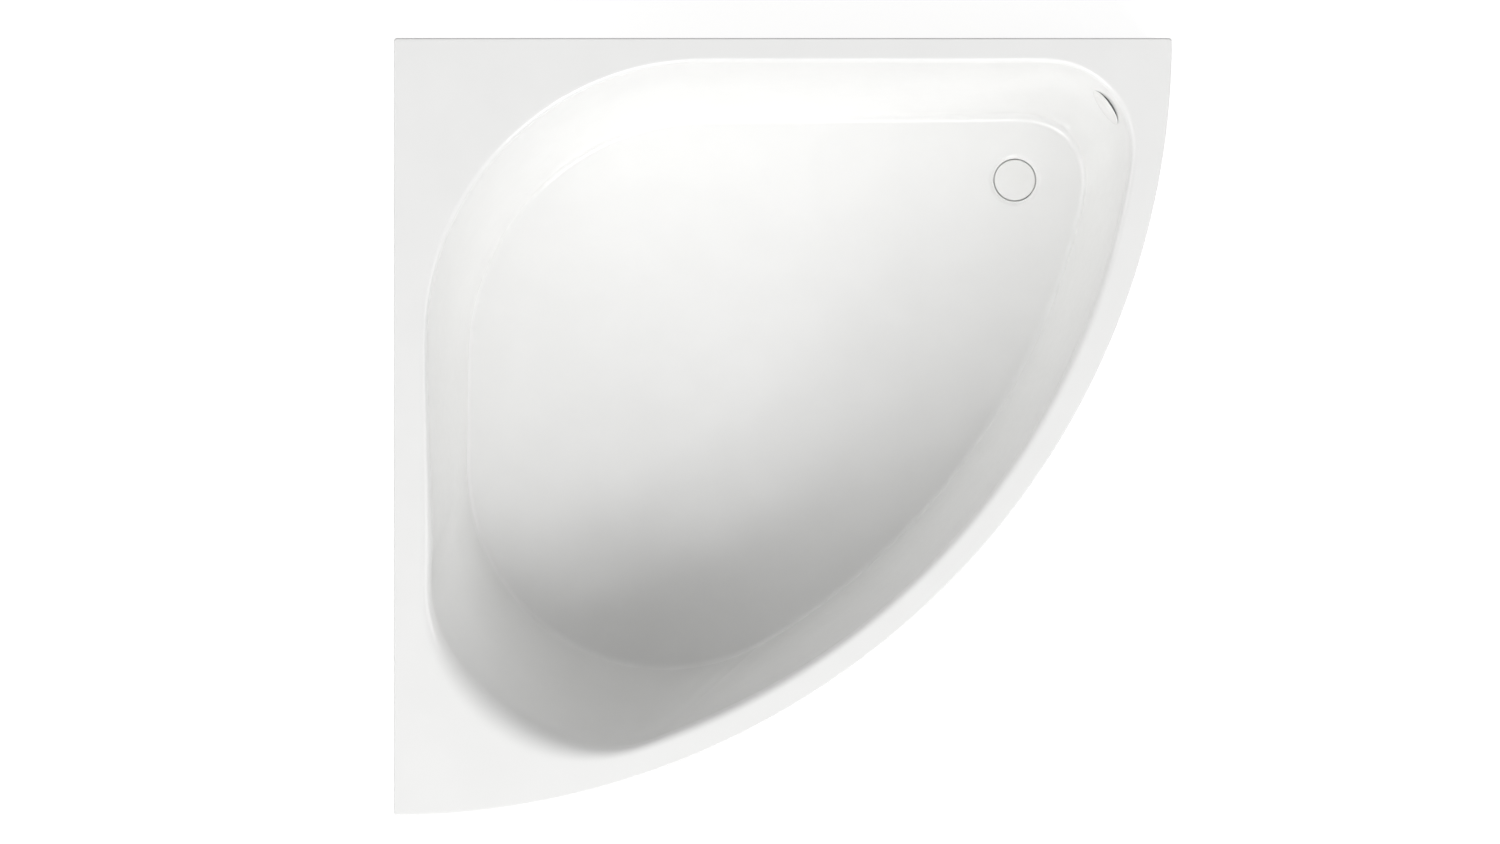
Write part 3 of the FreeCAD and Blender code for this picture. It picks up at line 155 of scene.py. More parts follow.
# ---------------------------------------------------------------- meshes from numpy grids
def grid_piece(name, points, round_rows=False, round_columns=False, flip=False, sharp=35):
    """Mesh over a grid of points (rows, columns, 3).

    Each quad joins a point to the next row and the next column. A round direction joins its
    last line to its first one. Edges that turn by more than sharp degrees stay crisp.
    """
    rows, columns = points.shape[:2]
    row = np.arange(rows if round_rows else rows - 1)[:, None]
    column = np.arange(columns if round_columns else columns - 1)[None, :]
    here = row * columns + column
    right = row * columns + (column + 1) % columns
    below = (row + 1) % rows * columns + column
    far = (row + 1) % rows * columns + (column + 1) % columns
    quads = np.stack([here, below, far, right], axis=-1).reshape(-1, 4)
    if flip:
        quads = quads[:, ::-1]
    mesh = bpy.data.meshes.new(name)
    mesh.from_pydata(points.reshape(-1, 3).tolist(), [], quads.tolist())
    mesh.shade_smooth()
    mesh.set_sharp_from_angle(angle=math.radians(sharp))
    piece = bpy.data.objects.new(name, mesh)
    bpy.context.scene.collection.objects.link(piece)
    return piece


def arc_steps(count):
    """Shares from 0 to 1, both included."""
    return np.linspace(0.0, 1.0, count)


def turned(name, profile, place, axis=(0, 0, 1), columns=128, **kind):
    """Surface of revolution: (radius, height) points turned about an axis through place."""
    axis = np.array(axis, float) / np.linalg.norm(axis)
    side = np.cross(axis, (0.0, 0.0, 1.0) if abs(axis[2]) < 0.9 else (0.0, 1.0, 0.0))
    side /= np.linalg.norm(side)
    across = np.cross(axis, side)
    turn = np.arange(columns) * TAU / columns
    ring = np.cos(turn)[:, None] * side + np.sin(turn)[:, None] * across
    radius, height = np.array(profile).T
    points = (np.array(place) + radius[:, None, None] * ring[None]
              + height[:, None, None] * axis)
    return grid_piece(name, points, round_columns=True, **kind)


def round_corner(centre, radius, first, last, count=7):
    """Points of an arc in the profile plane, angles in degrees."""
    turn = np.radians(np.linspace(first, last, count))
    return [(centre[0] + radius * math.cos(a), centre[1] + radius * math.sin(a)) for a in turn]


def carve(piece, tool, operation):
    """Cut a tool's shape from a piece or join it on, and drop the tool."""
    change = piece.modifiers.new("change", "BOOLEAN")
    change.operation = operation
    change.solver = "EXACT"
    change.object = tool
    view = bpy.context.evaluated_depsgraph_get()
    mesh = bpy.data.meshes.new_from_object(piece.evaluated_get(view))
    piece.modifiers.clear()
    piece.data = mesh
    mesh.name = piece.name
    bpy.data.objects.remove(tool)


def rod(radius, place, axis, low, high, columns=96):
    """Plain rod along an axis, to carve with."""
    return turned("tool", [(0.0, low), (radius, low), (radius, high), (0.0, high)], place, axis,
                  columns)


# ---------------------------------------------------------------- outlines in plan
def outline(q, sizes):
    """Outline of two lines and four tangent arcs at q, which runs from 0 to 6.

    The whole part of q is the stretch and the rest is the share of it. A line goes evenly
    from corner to corner, an arc turns evenly about its centre. Gives u, v and the
    direction that faces out of the outline.
    """
    left, back, shift, radius = (sizes[k] for k in ("left", "back", "shift", "radius"))
    r_back_left, r_back_right, r_front_left = (
        sizes[k] for k in ("back_left", "back_right", "front_left"))
    reach_right = math.sqrt((radius - r_back_right) ** 2 - (back + r_back_right - shift) ** 2)
    reach_front = math.sqrt((radius - r_front_left) ** 2 - (left + r_front_left - shift) ** 2)
    back_left = (left + r_back_left, back + r_back_left)
    back_right = (shift + reach_right, back + r_back_right)
    front_left = (left + r_front_left, shift + reach_front)
    turn_right = math.atan2(back_right[1] - shift, back_right[0] - shift)
    turn_front = math.atan2(front_left[1] - shift, front_left[0] - shift)
    stretch = np.minimum(q.astype(int), 5)
    t = q - stretch
    pick = stretch[:, None] == np.arange(6)

    def chosen(*values):
        return np.select(pick.T, [np.broadcast_to(value, q.shape) for value in values])

    turn = chosen(math.pi, math.pi * (1 + t / 2), -math.pi / 2,
                  -math.pi / 2 + (turn_right + math.pi / 2) * t,
                  turn_right + (turn_front - turn_right) * t,
                  turn_front + (math.pi - turn_front) * t)
    cos, sin = np.cos(turn), np.sin(turn)
    u = chosen(left, back_left[0] + r_back_left * cos,
               back_left[0] + (back_right[0] - back_left[0]) * t,
               back_right[0] + r_back_right * cos, shift + radius * cos,
               front_left[0] + r_front_left * cos)
    v = chosen(front_left[1] + (back_left[1] - front_left[1]) * t,
               back_left[1] + r_back_left * sin, back,
               back_right[1] + r_back_right * sin, shift + radius * sin,
               front_left[1] + r_front_left * sin)
    return u, v, turn


def along(radii, swell, q):
    """Radius of the wall's turn at q: a smooth step from one stretch's value to the next.

    It changes late on the front arc. On the last arc swell * sin(pi * t)^2 is added.
    """
    stretch = np.minimum(q.astype(int), 5)
    t = q - stretch
    late = np.where(stretch == 4, 3 * t - 2, t).clip(0, 1)
    start = radii[stretch]
    step = (radii[(stretch + 1) % 6] - start) * late * late * (3 - 2 * late)
    return start + step + np.where(stretch == 5, swell * np.sin(math.pi * t) ** 2, 0)


def rim_contour(inset):
    """Dense points of the rim's own outline, drawn in by inset: a quarter disc with tips."""
    radius = SIDE - inset
    tip = max(TIP_ROUND - inset, 0.6 * MM)
    near = inset + tip
    reach = math.sqrt((radius - tip) ** 2 - near ** 2)
    slope = math.atan2(near, reach)
    arcs = [((near, near), tip, math.pi, 1.5 * math.pi, 12),
            ((reach, near), tip, -math.pi / 2, slope, 12),
            ((0.0, 0.0), radius, slope, math.pi / 2 - slope, 400),
            ((near, reach), tip, math.pi / 2 - slope, math.pi, 12)]
    points = []
    for (u, v), r, first, last, count in arcs:
        turn = np.linspace(first, last, count)
        points.append(np.stack([u + r * np.cos(turn), v + r * np.sin(turn)], axis=-1))
    return np.concatenate(points)


def heading(u, v):
    """Direction of a plan place seen from the basin's middle."""
    return np.unwrap(np.arctan2(v - MIDDLE[1], u - MIDDLE[0]))


def rim_at(headings, inset):
    """Points of the rim's outline in the given directions from the basin's middle."""
    points = rim_contour(inset)
    points = np.concatenate([points, points[:1]])
    turn = heading(points[:, 0], points[:, 1])
    wanted = turn[0] + (headings - turn[0]) % TAU
    return np.interp(wanted, turn, points[:, 0]), np.interp(wanted, turn, points[:, 1])


def columns():
    """Places q of the grid's columns: even ones, and more that meet the rim's tips."""
    even = [stretch + np.arange(count) / count
            for stretch, count in enumerate((56, 140, 110, 96, 220, 120))]
    fine = np.linspace(0, 6, 6001)[:-1]
    u, v, turn = outline(fine, EDGE_SIZES)
    turn = heading(u, v)
    tips = [rim_contour(0.0)[part] for part in (slice(0, 12), slice(12, 24), slice(-12, None))]
    marks = np.concatenate([np.arctan2(tip[:, 1] - MIDDLE[1], tip[:, 0] - MIDDLE[0])
                            for tip in tips])
    marks = turn[0] + (marks - turn[0]) % TAU
    return np.unique(np.round(np.concatenate(even + [np.interp(marks, turn, fine)]), 6))


def eased(u, v, turn):
    """Closed outline with its jumps of curvature spread over EASE, and its way out."""
    line = np.append(u, u[0]) + 1j * np.append(v, v[0])
    run = np.concatenate([[0.0], np.cumsum(np.abs(np.diff(line)))])
    count = 4096
    even = np.arange(count) * run[-1] / count
    waves = TAU * np.fft.fftfreq(count, run[-1] / count)
    kept = np.exp(-(waves * EASE) ** 2 / 2)
    soft = np.fft.fft(np.interp(even, run, line.real) + 1j * np.interp(even, run, line.imag))
    soft *= kept * (2 - kept)
    parts = [np.interp(run[:-1], even, part, period=run[-1])
             for wave in (np.fft.ifft(soft), np.fft.ifft(soft * waves))
             for part in (wave.real, wave.imag)]
    return parts[0], parts[1], np.arctan2(parts[3], parts[2])


Q = columns()
TOP_U, TOP_V, TOP_TURN = eased(*outline(Q, EDGE_SIZES))
LOW_U, LOW_V, LOW_TURN = eased(*outline(Q, FLOOR_SIZES))
HEADINGS = np.arctan2(TOP_V - MIDDLE[1], TOP_U - MIDDLE[0])


# ---------------------------------------------------------------- rows of the basin's grid
def floor_height(u, v, behind, fall=FLOOR_FALL):
    """Height of the floor's plane, which falls towards the waste."""
    return RIM_TOP - BASIN_DEPTH - behind + fall * (WASTE_U - u + v - WASTE_BACK) / math.sqrt(2)


def rim_row(inset, z):
    """One row along the rim's outline."""
    u, v = rim_at(HEADINGS, inset)
    return model(u, v, z)


def between(first, last, shares):
    """Rows at even shares between two rows."""
    return [first + (last - first) * share for share in shares]


def wall_rows(behind, roll_steps, slope_shares, fillet_steps, fall=FLOOR_FALL):
    """Rows down the wall: an arc out of the rim, a straight slope and an arc into the floor.

    With run the way inwards, roll and fillet the two radii, and drop the basin's depth, the
    slope's angle is atan2(drop - roll - fillet, run) + asin((roll + fillet) / hypot(drop -
    roll - fillet, run)). A surface behind the wall keeps the arcs' centres.
    """
    run = (TOP_U - LOW_U) * np.cos(TOP_TURN) + (TOP_V - LOW_V) * np.sin(TOP_TURN)
    roll = np.maximum(along(ROLL_RADII, ROLL_SWELL, Q) - behind, 0.5 * MM)
    fillet = along(FILLET_RADII, FILLET_SWELL, Q) + behind
    arcs = roll + fillet
    angle = (np.arctan2(BASIN_DEPTH - arcs, run)
             + np.arcsin(arcs / np.hypot(run, BASIN_DEPTH - arcs)))
    ways = [(roll * np.sin(angle * k / roll_steps), roll * (1 - np.cos(angle * k / roll_steps)))
            for k in range(roll_steps + 1)]
    start = ways[-1]
    end = (run - fillet * np.sin(angle), BASIN_DEPTH - fillet * (1 - np.cos(angle)))
    ways += [(start[0] + (end[0] - start[0]) * share, start[1] + (end[1] - start[1]) * share)
             for share in slope_shares]
    ways += [(run - fillet * np.sin(angle * k / fillet_steps),
              BASIN_DEPTH - fillet * (1 - np.cos(angle * k / fillet_steps)))
             for k in range(fillet_steps, -1, -1)]
    rows = []
    for inwards, depth in ways:
        u = TOP_U + (LOW_U - TOP_U) * inwards / run
        v = TOP_V + (LOW_V - TOP_V) * inwards / run
        lift = depth / BASIN_DEPTH * fall * (WASTE_U - u + v - WASTE_BACK) / math.sqrt(2)
        rows.append(model(u, v, RIM_TOP - behind - depth + lift))
    return rows


def waste_ring(radius, z=None, behind=0.0, fall=FLOOR_FALL):
    """Row round the waste in the directions of the floor's edge, level at z or on the floor."""
    turn = np.arctan2(LOW_V - WASTE_BACK, LOW_U - WASTE_U)
    u = WASTE_U + radius * np.cos(turn)
    v = WASTE_BACK + radius * np.sin(turn)
    return model(u, v, floor_height(u, v, behind, fall) if z is None else z)


SLOPE_SHARES = (0.03, 0.08, 0.15, 0.24, 0.34, 0.45, 0.56, 0.67, 0.77, 0.86, 0.93, 0.97)
FLOOR_AT_WASTE = RIM_TOP - BASIN_DEPTH


def dish_rows():
    """Rows from the floor into the waste's dish, down its straight well and to its hole."""
    rows = []
    for share in arc_steps(8):
        radius = DISH_R + DISH_EASE - (DISH_R + DISH_EASE - WELL_R - WELL_RING) * share
        ring = waste_ring(radius)
        sink = share * share * (3 - 2 * share)
        ring[:, 2] = ring[:, 2] * (1 - sink) + (FLOOR_AT_WASTE - DISH_DEPTH) * sink
        rows.append(ring)
    low = FLOOR_AT_WASTE - WELL_DEPTH
    lip = round_corner((WELL_R + WELL_LIP, FLOOR_AT_WASTE - DISH_DEPTH - WELL_LIP),
                       WELL_LIP, 90, 180, 4)
    foot = round_corner((WELL_R - WELL_FOOT, low + WELL_FOOT), WELL_FOOT, 0, -90, 4)
    rows += [waste_ring(radius, z) for radius, z in lip + foot]
    rows += [waste_ring(WASTE_HOLE_R, low), waste_ring(WASTE_HOLE_R, low - ACRYLIC)]
    return rows


def acrylic_moulding():
    """The moulding as one closed skin: lip, rim, wall, floor and well, then back behind them."""
    outer = [rim_row(0.0, RIM_TOP - LIP_HEIGHT + drop * LIP_HEIGHT) for drop in (0.0, 0.5)]
    outer += [rim_row(LIP_ROUND * (1 - math.cos(a)), RIM_TOP - LIP_ROUND * (1 - math.sin(a)))
              for a in np.linspace(0, math.pi / 2, 6)]
    wall = wall_rows(0.0, 10, SLOPE_SHARES, 8)
    rim = between(outer[-1], wall[0], (0.03, 0.3, 0.65, 0.97))
    dish = dish_rows()
    floor = between(wall[-1], dish[0], (0.02, 0.12, 0.28, 0.45, 0.62, 0.78, 0.9, 0.97))
    back = wall_rows(ACRYLIC, 5, SLOPE_SHARES[1::2], 4)[::-1]
    boss = [waste_ring(WELL_R + ACRYLIC, FLOOR_AT_WASTE - WELL_DEPTH - ACRYLIC),
            waste_ring(WELL_R + ACRYLIC, behind=ACRYLIC)]
    under = [rim_row(ACRYLIC, RIM_TOP - ACRYLIC), rim_row(ACRYLIC, RIM_TOP - LIP_HEIGHT)]
    rows = outer + rim + wall + floor + dish + boss + back + under
    shell = grid_piece("acrylic_moulding", np.stack(rows), round_rows=True, round_columns=True)
    overflow = (OVERFLOW_PLACE, OVERFLOW_NORMAL)
    carve(shell, rod(SEAT_R + ACRYLIC, *overflow, -SEAT_DEPTH - ACRYLIC, -SEAT_DEPTH / 2), "UNION")
    carve(shell, rod(SEAT_R, *overflow, -SEAT_DEPTH, SEAT_R), "DIFFERENCE")
    carve(shell, rod(OVERFLOW_HOLE_R, *overflow, -SEAT_R, SEAT_R), "DIFFERENCE")
    return shell


def laminate_layer():
    """Glass-fibre layer: its outer skin down the wall and under the floor, and back inside."""
    outside = ACRYLIC + BOND + LAMINATE
    inside = ACRYLIC + BOND
    ring = WELL_R + ACRYLIC + 1 * MM
    outer = wall_rows(outside, 5, SLOPE_SHARES, 6, fall=0.0)
    inner = wall_rows(inside, 4, SLOPE_SHARES[1::3], 3)[::-1]
    seat = [waste_ring(ring, behind=outside, fall=0.0), waste_ring(ring, behind=inside)]
    floor = between(outer[-1], seat[0], (0.1, 0.3, 0.5, 0.7, 0.9))
    ends = [rim_row(inside, RIM_TOP - inside), rim_row(inside, RIM_TOP - outside)]
    rows = outer + floor + seat + inner + ends
    layer = grid_piece("laminate_layer", np.stack(rows), round_rows=True, round_columns=True,
                       flip=True)
    gap = SEAT_R + ACRYLIC + 1 * MM
    carve(layer, rod(gap, OVERFLOW_PLACE, OVERFLOW_NORMAL, -gap, gap), "DIFFERENCE")
    return layer


# ---------------------------------------------------------------- apron, cover and rosette
def apron():
    """Curved apron: an upright strip with rounded edges, carried round the quarter circle."""
    e = PANEL_EDGE
    inner, outer = PANEL_R - PANEL_T, PANEL_R
    profile = np.array(round_corner((outer - e, PANEL_HIGH - e), e, 0, 90, 4)
                       + round_corner((inner + e, PANEL_HIGH - e), e, 90, 180, 4)
                       + round_corner((inner + e, PANEL_LOW + e), e, 180, 270, 4)
                       + round_corner((outer - e, PANEL_LOW + e), e, 270, 360, 4))
    radius, height = profile[:, 0][:, None], profile[:, 1][:, None]
    first = np.arcsin(PANEL_END / radius)
    turn = first + (math.pi / 2 - 2 * first) * arc_steps(181)[None, :]
    points = model(radius * np.cos(turn), radius * np.sin(turn), height)
    centre = points.mean(axis=0, keepdims=True)
    closed = np.concatenate([np.repeat(centre[:, :1], len(points), 0), points,
                             np.repeat(centre[:, -1:], len(points), 0)], axis=1)
    return grid_piece("apron", closed, round_rows=True)


def waste_cover():
    """Round cover: a crowned face, a rounded edge and a flat underside."""
    high = FLOOR_AT_WASTE - DISH_DEPTH - COVER_DROP
    low = high - COVER_T
    ball = (COVER_R ** 2 + COVER_CROWN ** 2) / (2 * COVER_CROWN)
    radii = np.linspace(0.0, COVER_R - COVER_EDGE, 16)
    face = [(r, high - ball + COVER_CROWN + math.sqrt(ball ** 2 - r ** 2)) for r in radii]
    edge = round_corner((COVER_R - COVER_EDGE, face[-1][1] - COVER_EDGE), COVER_EDGE, 88, 0, 8)
    under = [(COVER_R - 0.3 * MM, low), (COVER_R - 1 * MM, low), (0.0, low)]
    return turned("waste_cover", face + edge + under,
                  model(WASTE_U, WASTE_BACK, 0.0), flip=True)


def overflow_knob():
    """Round knob over the overflow: a low domed face, a thin rim and a hollow back."""
    low, high = ROSETTE_GAP - ROSETTE_LOW, ROSETTE_GAP + ROSETTE_RISE
    edge = low + ROSETTE_EDGE
    face = [(ROSETTE_R * share, edge + (high - edge) * (1 - share ** 2))
            for share in np.linspace(0.0, 0.97, 20)]
    rim = round_corner((ROSETTE_R - ROSETTE_ROUND, edge - ROSETTE_ROUND), ROSETTE_ROUND,
                       80, 0, 6)
    back = [(ROSETTE_R, low + ROSETTE_BACK), (ROSETTE_R - ROSETTE_BACK, low),
            (ROSETTE_R - 2 * MM, low), (ROSETTE_R - 3.5 * MM, edge - 0.9 * MM),
            (ROSETTE_R - 9 * MM, edge - 0.8 * MM), (8 * MM, edge + 0.1 * MM),
            (8 * MM, ROSETTE_GAP), (0.0, ROSETTE_GAP)]
    return turned("overflow_knob", face + rim + back, OVERFLOW_PLACE, OVERFLOW_NORMAL,
                  flip=True)


# ---------------------------------------------------------------- rails and feet
def folded_rail(name):
    """Hat-section rail folded from sheet: web, two sides and two flanges, with round bends."""
    low, high = (np.array(corner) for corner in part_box(name))
    middle = (low[1] + high[1]) / 2
    half = (high[1] - low[1]) / 2
    side = half - RAIL_FLANGE - RAIL_T / 2
    bottom, top = low[2] + RAIL_T / 2, high[2] - RAIL_T / 2
    bends = [(-side, top, -1, -1, 90, 0), (-side, bottom, 1, 1, 180, 270),
             (side, bottom, -1, 1, 270, 360), (side, top, 1, -1, 180, 90)]
    line, facing = [(-half, top)], [(0.0, 1.0)]
    for y, z, across, up, first, last in bends:
        centre = (y + across * RAIL_BEND, z + up * RAIL_BEND)
        for a in np.radians(np.linspace(first, last, 6)):
            line.append((centre[0] + RAIL_BEND * math.cos(a), centre[1] + RAIL_BEND * math.sin(a)))
            facing.append((-up * math.cos(a), -up * math.sin(a)))
    line.append((half, top))
    facing.append((0.0, 1.0))
    line, facing = np.array(line), np.array(facing)
    ends = [(low[0], 1), (high[0], 1), (high[0], -1), (low[0], -1)]
    rows = [[(x, middle + y + way * n * RAIL_T / 2, z + way * m * RAIL_T / 2)
             for x, way in ends] for (y, z), (n, m) in zip(line, facing)]
    edges = [[(x, middle + y, z) for x, way in ends] for y, z in (line[0], line[-1])]
    sheet = grid_piece(f"{name}_sheet", np.array([edges[0], *rows, edges[1]]),
                       round_columns=True)
    for k in range(1, 7):
        near, far = (np.array(corner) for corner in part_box(f"foot_{k}_spindle"))
        if low[1] < near[1] and far[1] < high[1]:
            radius = (far[0] - near[0]) / 2 + SPINDLE_HOLE_PLAY
            carve(sheet, rod(radius, ((near[0] + far[0]) / 2, middle, low[2]), (0, 0, 1),
                             -RAIL_T, 2 * RAIL_T, 48), "DIFFERENCE")
    return sheet


def threaded_spindle(k):
    """Foot's spindle with its thread, chamfered at both ends."""
    low, high = (np.array(corner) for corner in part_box(f"foot_{k}_spindle"))
    place, radius = (low + high) / 2, (high[0] - low[0]) / 2
    steps = 6
    heights = np.arange(low[2], high[2], THREAD_PITCH / steps)[:, None]
    turn = np.arange(24)[None, :] * TAU / 24
    wave = np.abs((heights / THREAD_PITCH - turn / TAU) % 1.0 - 0.5) * 2
    to_end = np.minimum(heights - low[2], high[2] - heights)
    reach = np.minimum(radius - THREAD_DEPTH * wave, radius - THREAD_DEPTH + to_end)
    points = np.stack(np.broadcast_arrays(place[0] + reach * np.cos(turn),
                                          place[1] + reach * np.sin(turn), heights), axis=-1)
    ends = [np.broadcast_to((place[0], place[1], z), points[:1].shape)
            for z in (low[2], high[2])]
    rim = points[:1] * (1, 1, 0) + (0, 0, high[2])
    return grid_piece(f"foot_{k}_thread", np.concatenate([ends[0], points, rim, ends[1]]),
                      round_columns=True, flip=True, sharp=60)


def hexagon_nut(k, which):
    """Hexagon nut with both faces chamfered, as turned before the flats are cut."""
    low, high = (np.array(corner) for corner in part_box(f"foot_{k}_nuts"))
    near, far = (np.array(corner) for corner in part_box(f"foot_{k}_spindle"))
    bottom = low[2] if which == "lower" else high[2] - NUT_T
    middle = (low + high) / 2
    bore = (far[0] - near[0]) / 2 + SOCKET_PLAY
    turn = np.arange(96) * TAU / 96
    flat = NUT_FLATS / 2 / np.cos((turn + math.pi / 6) % (math.pi / 3) - math.pi / 6)
    if high[0] - low[0] < high[1] - low[1]:
        flat = np.roll(flat, 8)
    face = NUT_FACE * NUT_FLATS / 2
    fall = np.maximum(flat - face, 0) * math.tan(math.radians(NUT_CHAMFER))
    edge = bore + NUT_BORE_EDGE
    rings = [(bore, NUT_BORE_EDGE), (edge, 0.0), (face, 0.0), (flat, fall),
             (flat, NUT_T - fall), (face, NUT_T), (edge, NUT_T), (bore, NUT_T - NUT_BORE_EDGE)]
    points = np.array([np.stack([middle[0] + r * np.cos(turn), middle[1] + r * np.sin(turn),
                                 np.broadcast_to(bottom + z, turn.shape)], axis=-1)
                       for r, z in rings])
    return grid_piece(f"foot_{k}_{which}_nut", points, round_rows=True, round_columns=True,
                      flip=True, sharp=20)


def ribbed_pad(k):
    """Round foot: a rounded rim, a sunk ring crossed by ribs, and the boss of its socket."""
    low, high = (np.array(corner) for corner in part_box(f"foot_{k}_pad"))
    near, far = (np.array(corner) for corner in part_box(f"foot_{k}_spindle"))
    radius, socket = (high[0] - low[0]) / 2, (far[0] - near[0]) / 2 + SOCKET_PLAY
    rise = high[2] - low[2]
    turn = np.arange(192) * TAU / 192
    off = np.abs((turn * PAD_RIBS / TAU + 0.5) % 1.0 - 0.5) * TAU / PAD_RIBS

    def ring(r, z, sunk=0.0):
        rib = (off * r < PAD_RIB_T / 2) | (sunk == 0)
        return np.stack([(low[0] + high[0]) / 2 + r * np.cos(turn),
                         (low[1] + high[1]) / 2 + r * np.sin(turn),
                         low[2] + z - np.where(rib, 0.0, sunk)], axis=-1)

    rim = round_corner((radius - 1.2 * MM, 2.8 * MM), 1.2 * MM, 0, 90, 5)
    rows = [ring(0.0, 0.0), ring(radius - 1 * MM, 0.0), ring(radius, 1 * MM)]
    rows += [ring(r, z) for r, z in rim]
    rows += [ring(radius - 3 * MM, 4 * MM), ring(radius - 3.4 * MM, 4 * MM, 2 * MM),
             ring(15.4 * MM, 6.7 * MM, 4 * MM), ring(15 * MM, 6.8 * MM)]
    rows += [ring(14.2 * MM, 7.2 * MM), ring(12.2 * MM, rise - 0.8 * MM),
             ring(11.4 * MM, rise), ring(socket + 0.5 * MM, rise), ring(socket, rise - 0.5 * MM),
             ring(socket, rise / 2), ring(0.0, rise / 2)]
    return grid_piece(f"foot_{k}_round", np.array(rows), round_columns=True, flip=True, sharp=30)


# ---------------------------------------------------------------- materials
def colour(code):
    """Linear colour of an sRGB hex value."""
    parts = np.array([int(code[k:k + 2], 16) for k in (1, 3, 5)]) / 255
    linear = np.where(parts <= 0.04045, parts / 12.92, ((parts + 0.055) / 1.055) ** 2.4)
    return (*linear.tolist(), 1.0)


def new_material(name, roughness, metallic=0.0, ior=1.5):
    """Empty material with its plain values set, its node tree and its shader."""
    material = bpy.data.materials.new(name)
    material.use_nodes = True
    shader = material.node_tree.nodes["Principled BSDF"]
    shader.inputs["Roughness"].default_value = roughness
    shader.inputs["Metallic"].default_value = metallic
    shader.inputs["IOR"].default_value = ior
    return material, material.node_tree, shader


def node(tree, kind, settings=None, **links):
    """Add a node with its settings and its inputs, each a value or another node's output."""
    made = tree.nodes.new(kind)
    for key, value in (settings or {}).items():
        setattr(made, key, value)
    for key, value in links.items():
        socket = made.inputs[key.replace("_", " ")]
        if isinstance(value, bpy.types.NodeSocket):
            tree.links.new(value, socket)
        else:
            socket.default_value = value
    return made


def place_in(tree, stretch=(1.0, 1.0, 1.0), turn=(0.0, 0.0, 0.0)):
    """Place on the object in metres, stretched along X, Y and Z."""
    mapping = node(tree, "ShaderNodeMapping", Scale=stretch, Rotation=turn,
                   Vector=node(tree, "ShaderNodeTexCoord").outputs["Object"])
    return mapping.outputs["Vector"]


def ramp(tree, value, *stops):
    """Colours along a value, each stop a position and an sRGB code."""
    made = node(tree, "ShaderNodeValToRGB", Fac=value)
    steps = made.color_ramp.elements
    for step, (position, code) in zip((steps[0], steps[1]), (stops[0], stops[-1])):
        step.position, step.color = position, colour(code)
    for position, code in stops[1:-1]:
        steps.new(position).color = colour(code)
    return made.outputs["Color"]


def spread(tree, value, low, high):
    """A value from 0 to 1 spread between low and high."""
    return node(tree, "ShaderNodeMapRange", Value=value, To_Min=low, To_Max=high).outputs[0]


def relief(tree, shader, height, depth, strength=1.0):
    """Bump of a height from 0 to 1 over a depth in metres."""
    bump = node(tree, "ShaderNodeBump", Height=height, Strength=strength, Distance=depth)
    tree.links.new(bump.outputs["Normal"], shader.inputs["Normal"])


def sanitary_acrylic():
    """Cast acrylic, drawn warm over a mould: glossy, with a faint long waviness."""
    material, tree, shader = new_material("sanitary_acrylic", 0.14, ior=1.49)
    place = place_in(tree)
    waves = node(tree, "ShaderNodeTexNoise", Vector=place, Scale=7.0, Detail=2.0)
    relief(tree, shader, waves.outputs["Fac"], 0.4 * MM, 0.08)
    # Cast sheet is never quite one white: cloudy patches a hand wide, a shade apart.
    clouds = node(tree, "ShaderNodeTexNoise", Vector=place, Scale=11.0, Detail=3.0)
    tree.links.new(ramp(tree, clouds.outputs["Fac"], (0.3, "#F0F0EF"), (0.7, "#F2F2F1")),
                   shader.inputs["Base Color"])
    fine = node(tree, "ShaderNodeTexNoise", Vector=place, Scale=60.0, Detail=2.0)
    tree.links.new(spread(tree, fine.outputs["Fac"], 0.11, 0.18), shader.inputs["Roughness"])
    return material


def moulding(name, light, dark, roughness, grain, depth):
    """Moulded plastic or rubber: a fine skin of a given grain and depth, a shade uneven."""
    material, tree, shader = new_material(name, roughness)
    place = place_in(tree)
    cloud = node(tree, "ShaderNodeTexNoise", Vector=place, Scale=25.0, Detail=3.0)
    tree.links.new(ramp(tree, cloud.outputs["Fac"], (0.3, dark), (0.7, light)),
                   shader.inputs["Base Color"])
    skin = node(tree, "ShaderNodeTexVoronoi", {"feature": "SMOOTH_F1"}, Vector=place,
                Scale=1 / grain, Smoothness=0.6)
    tree.links.new(spread(tree, cloud.outputs["Fac"], roughness * 0.85, roughness * 1.15),
                   shader.inputs["Roughness"])
    relief(tree, shader, skin.outputs["Distance"], depth)
    return material


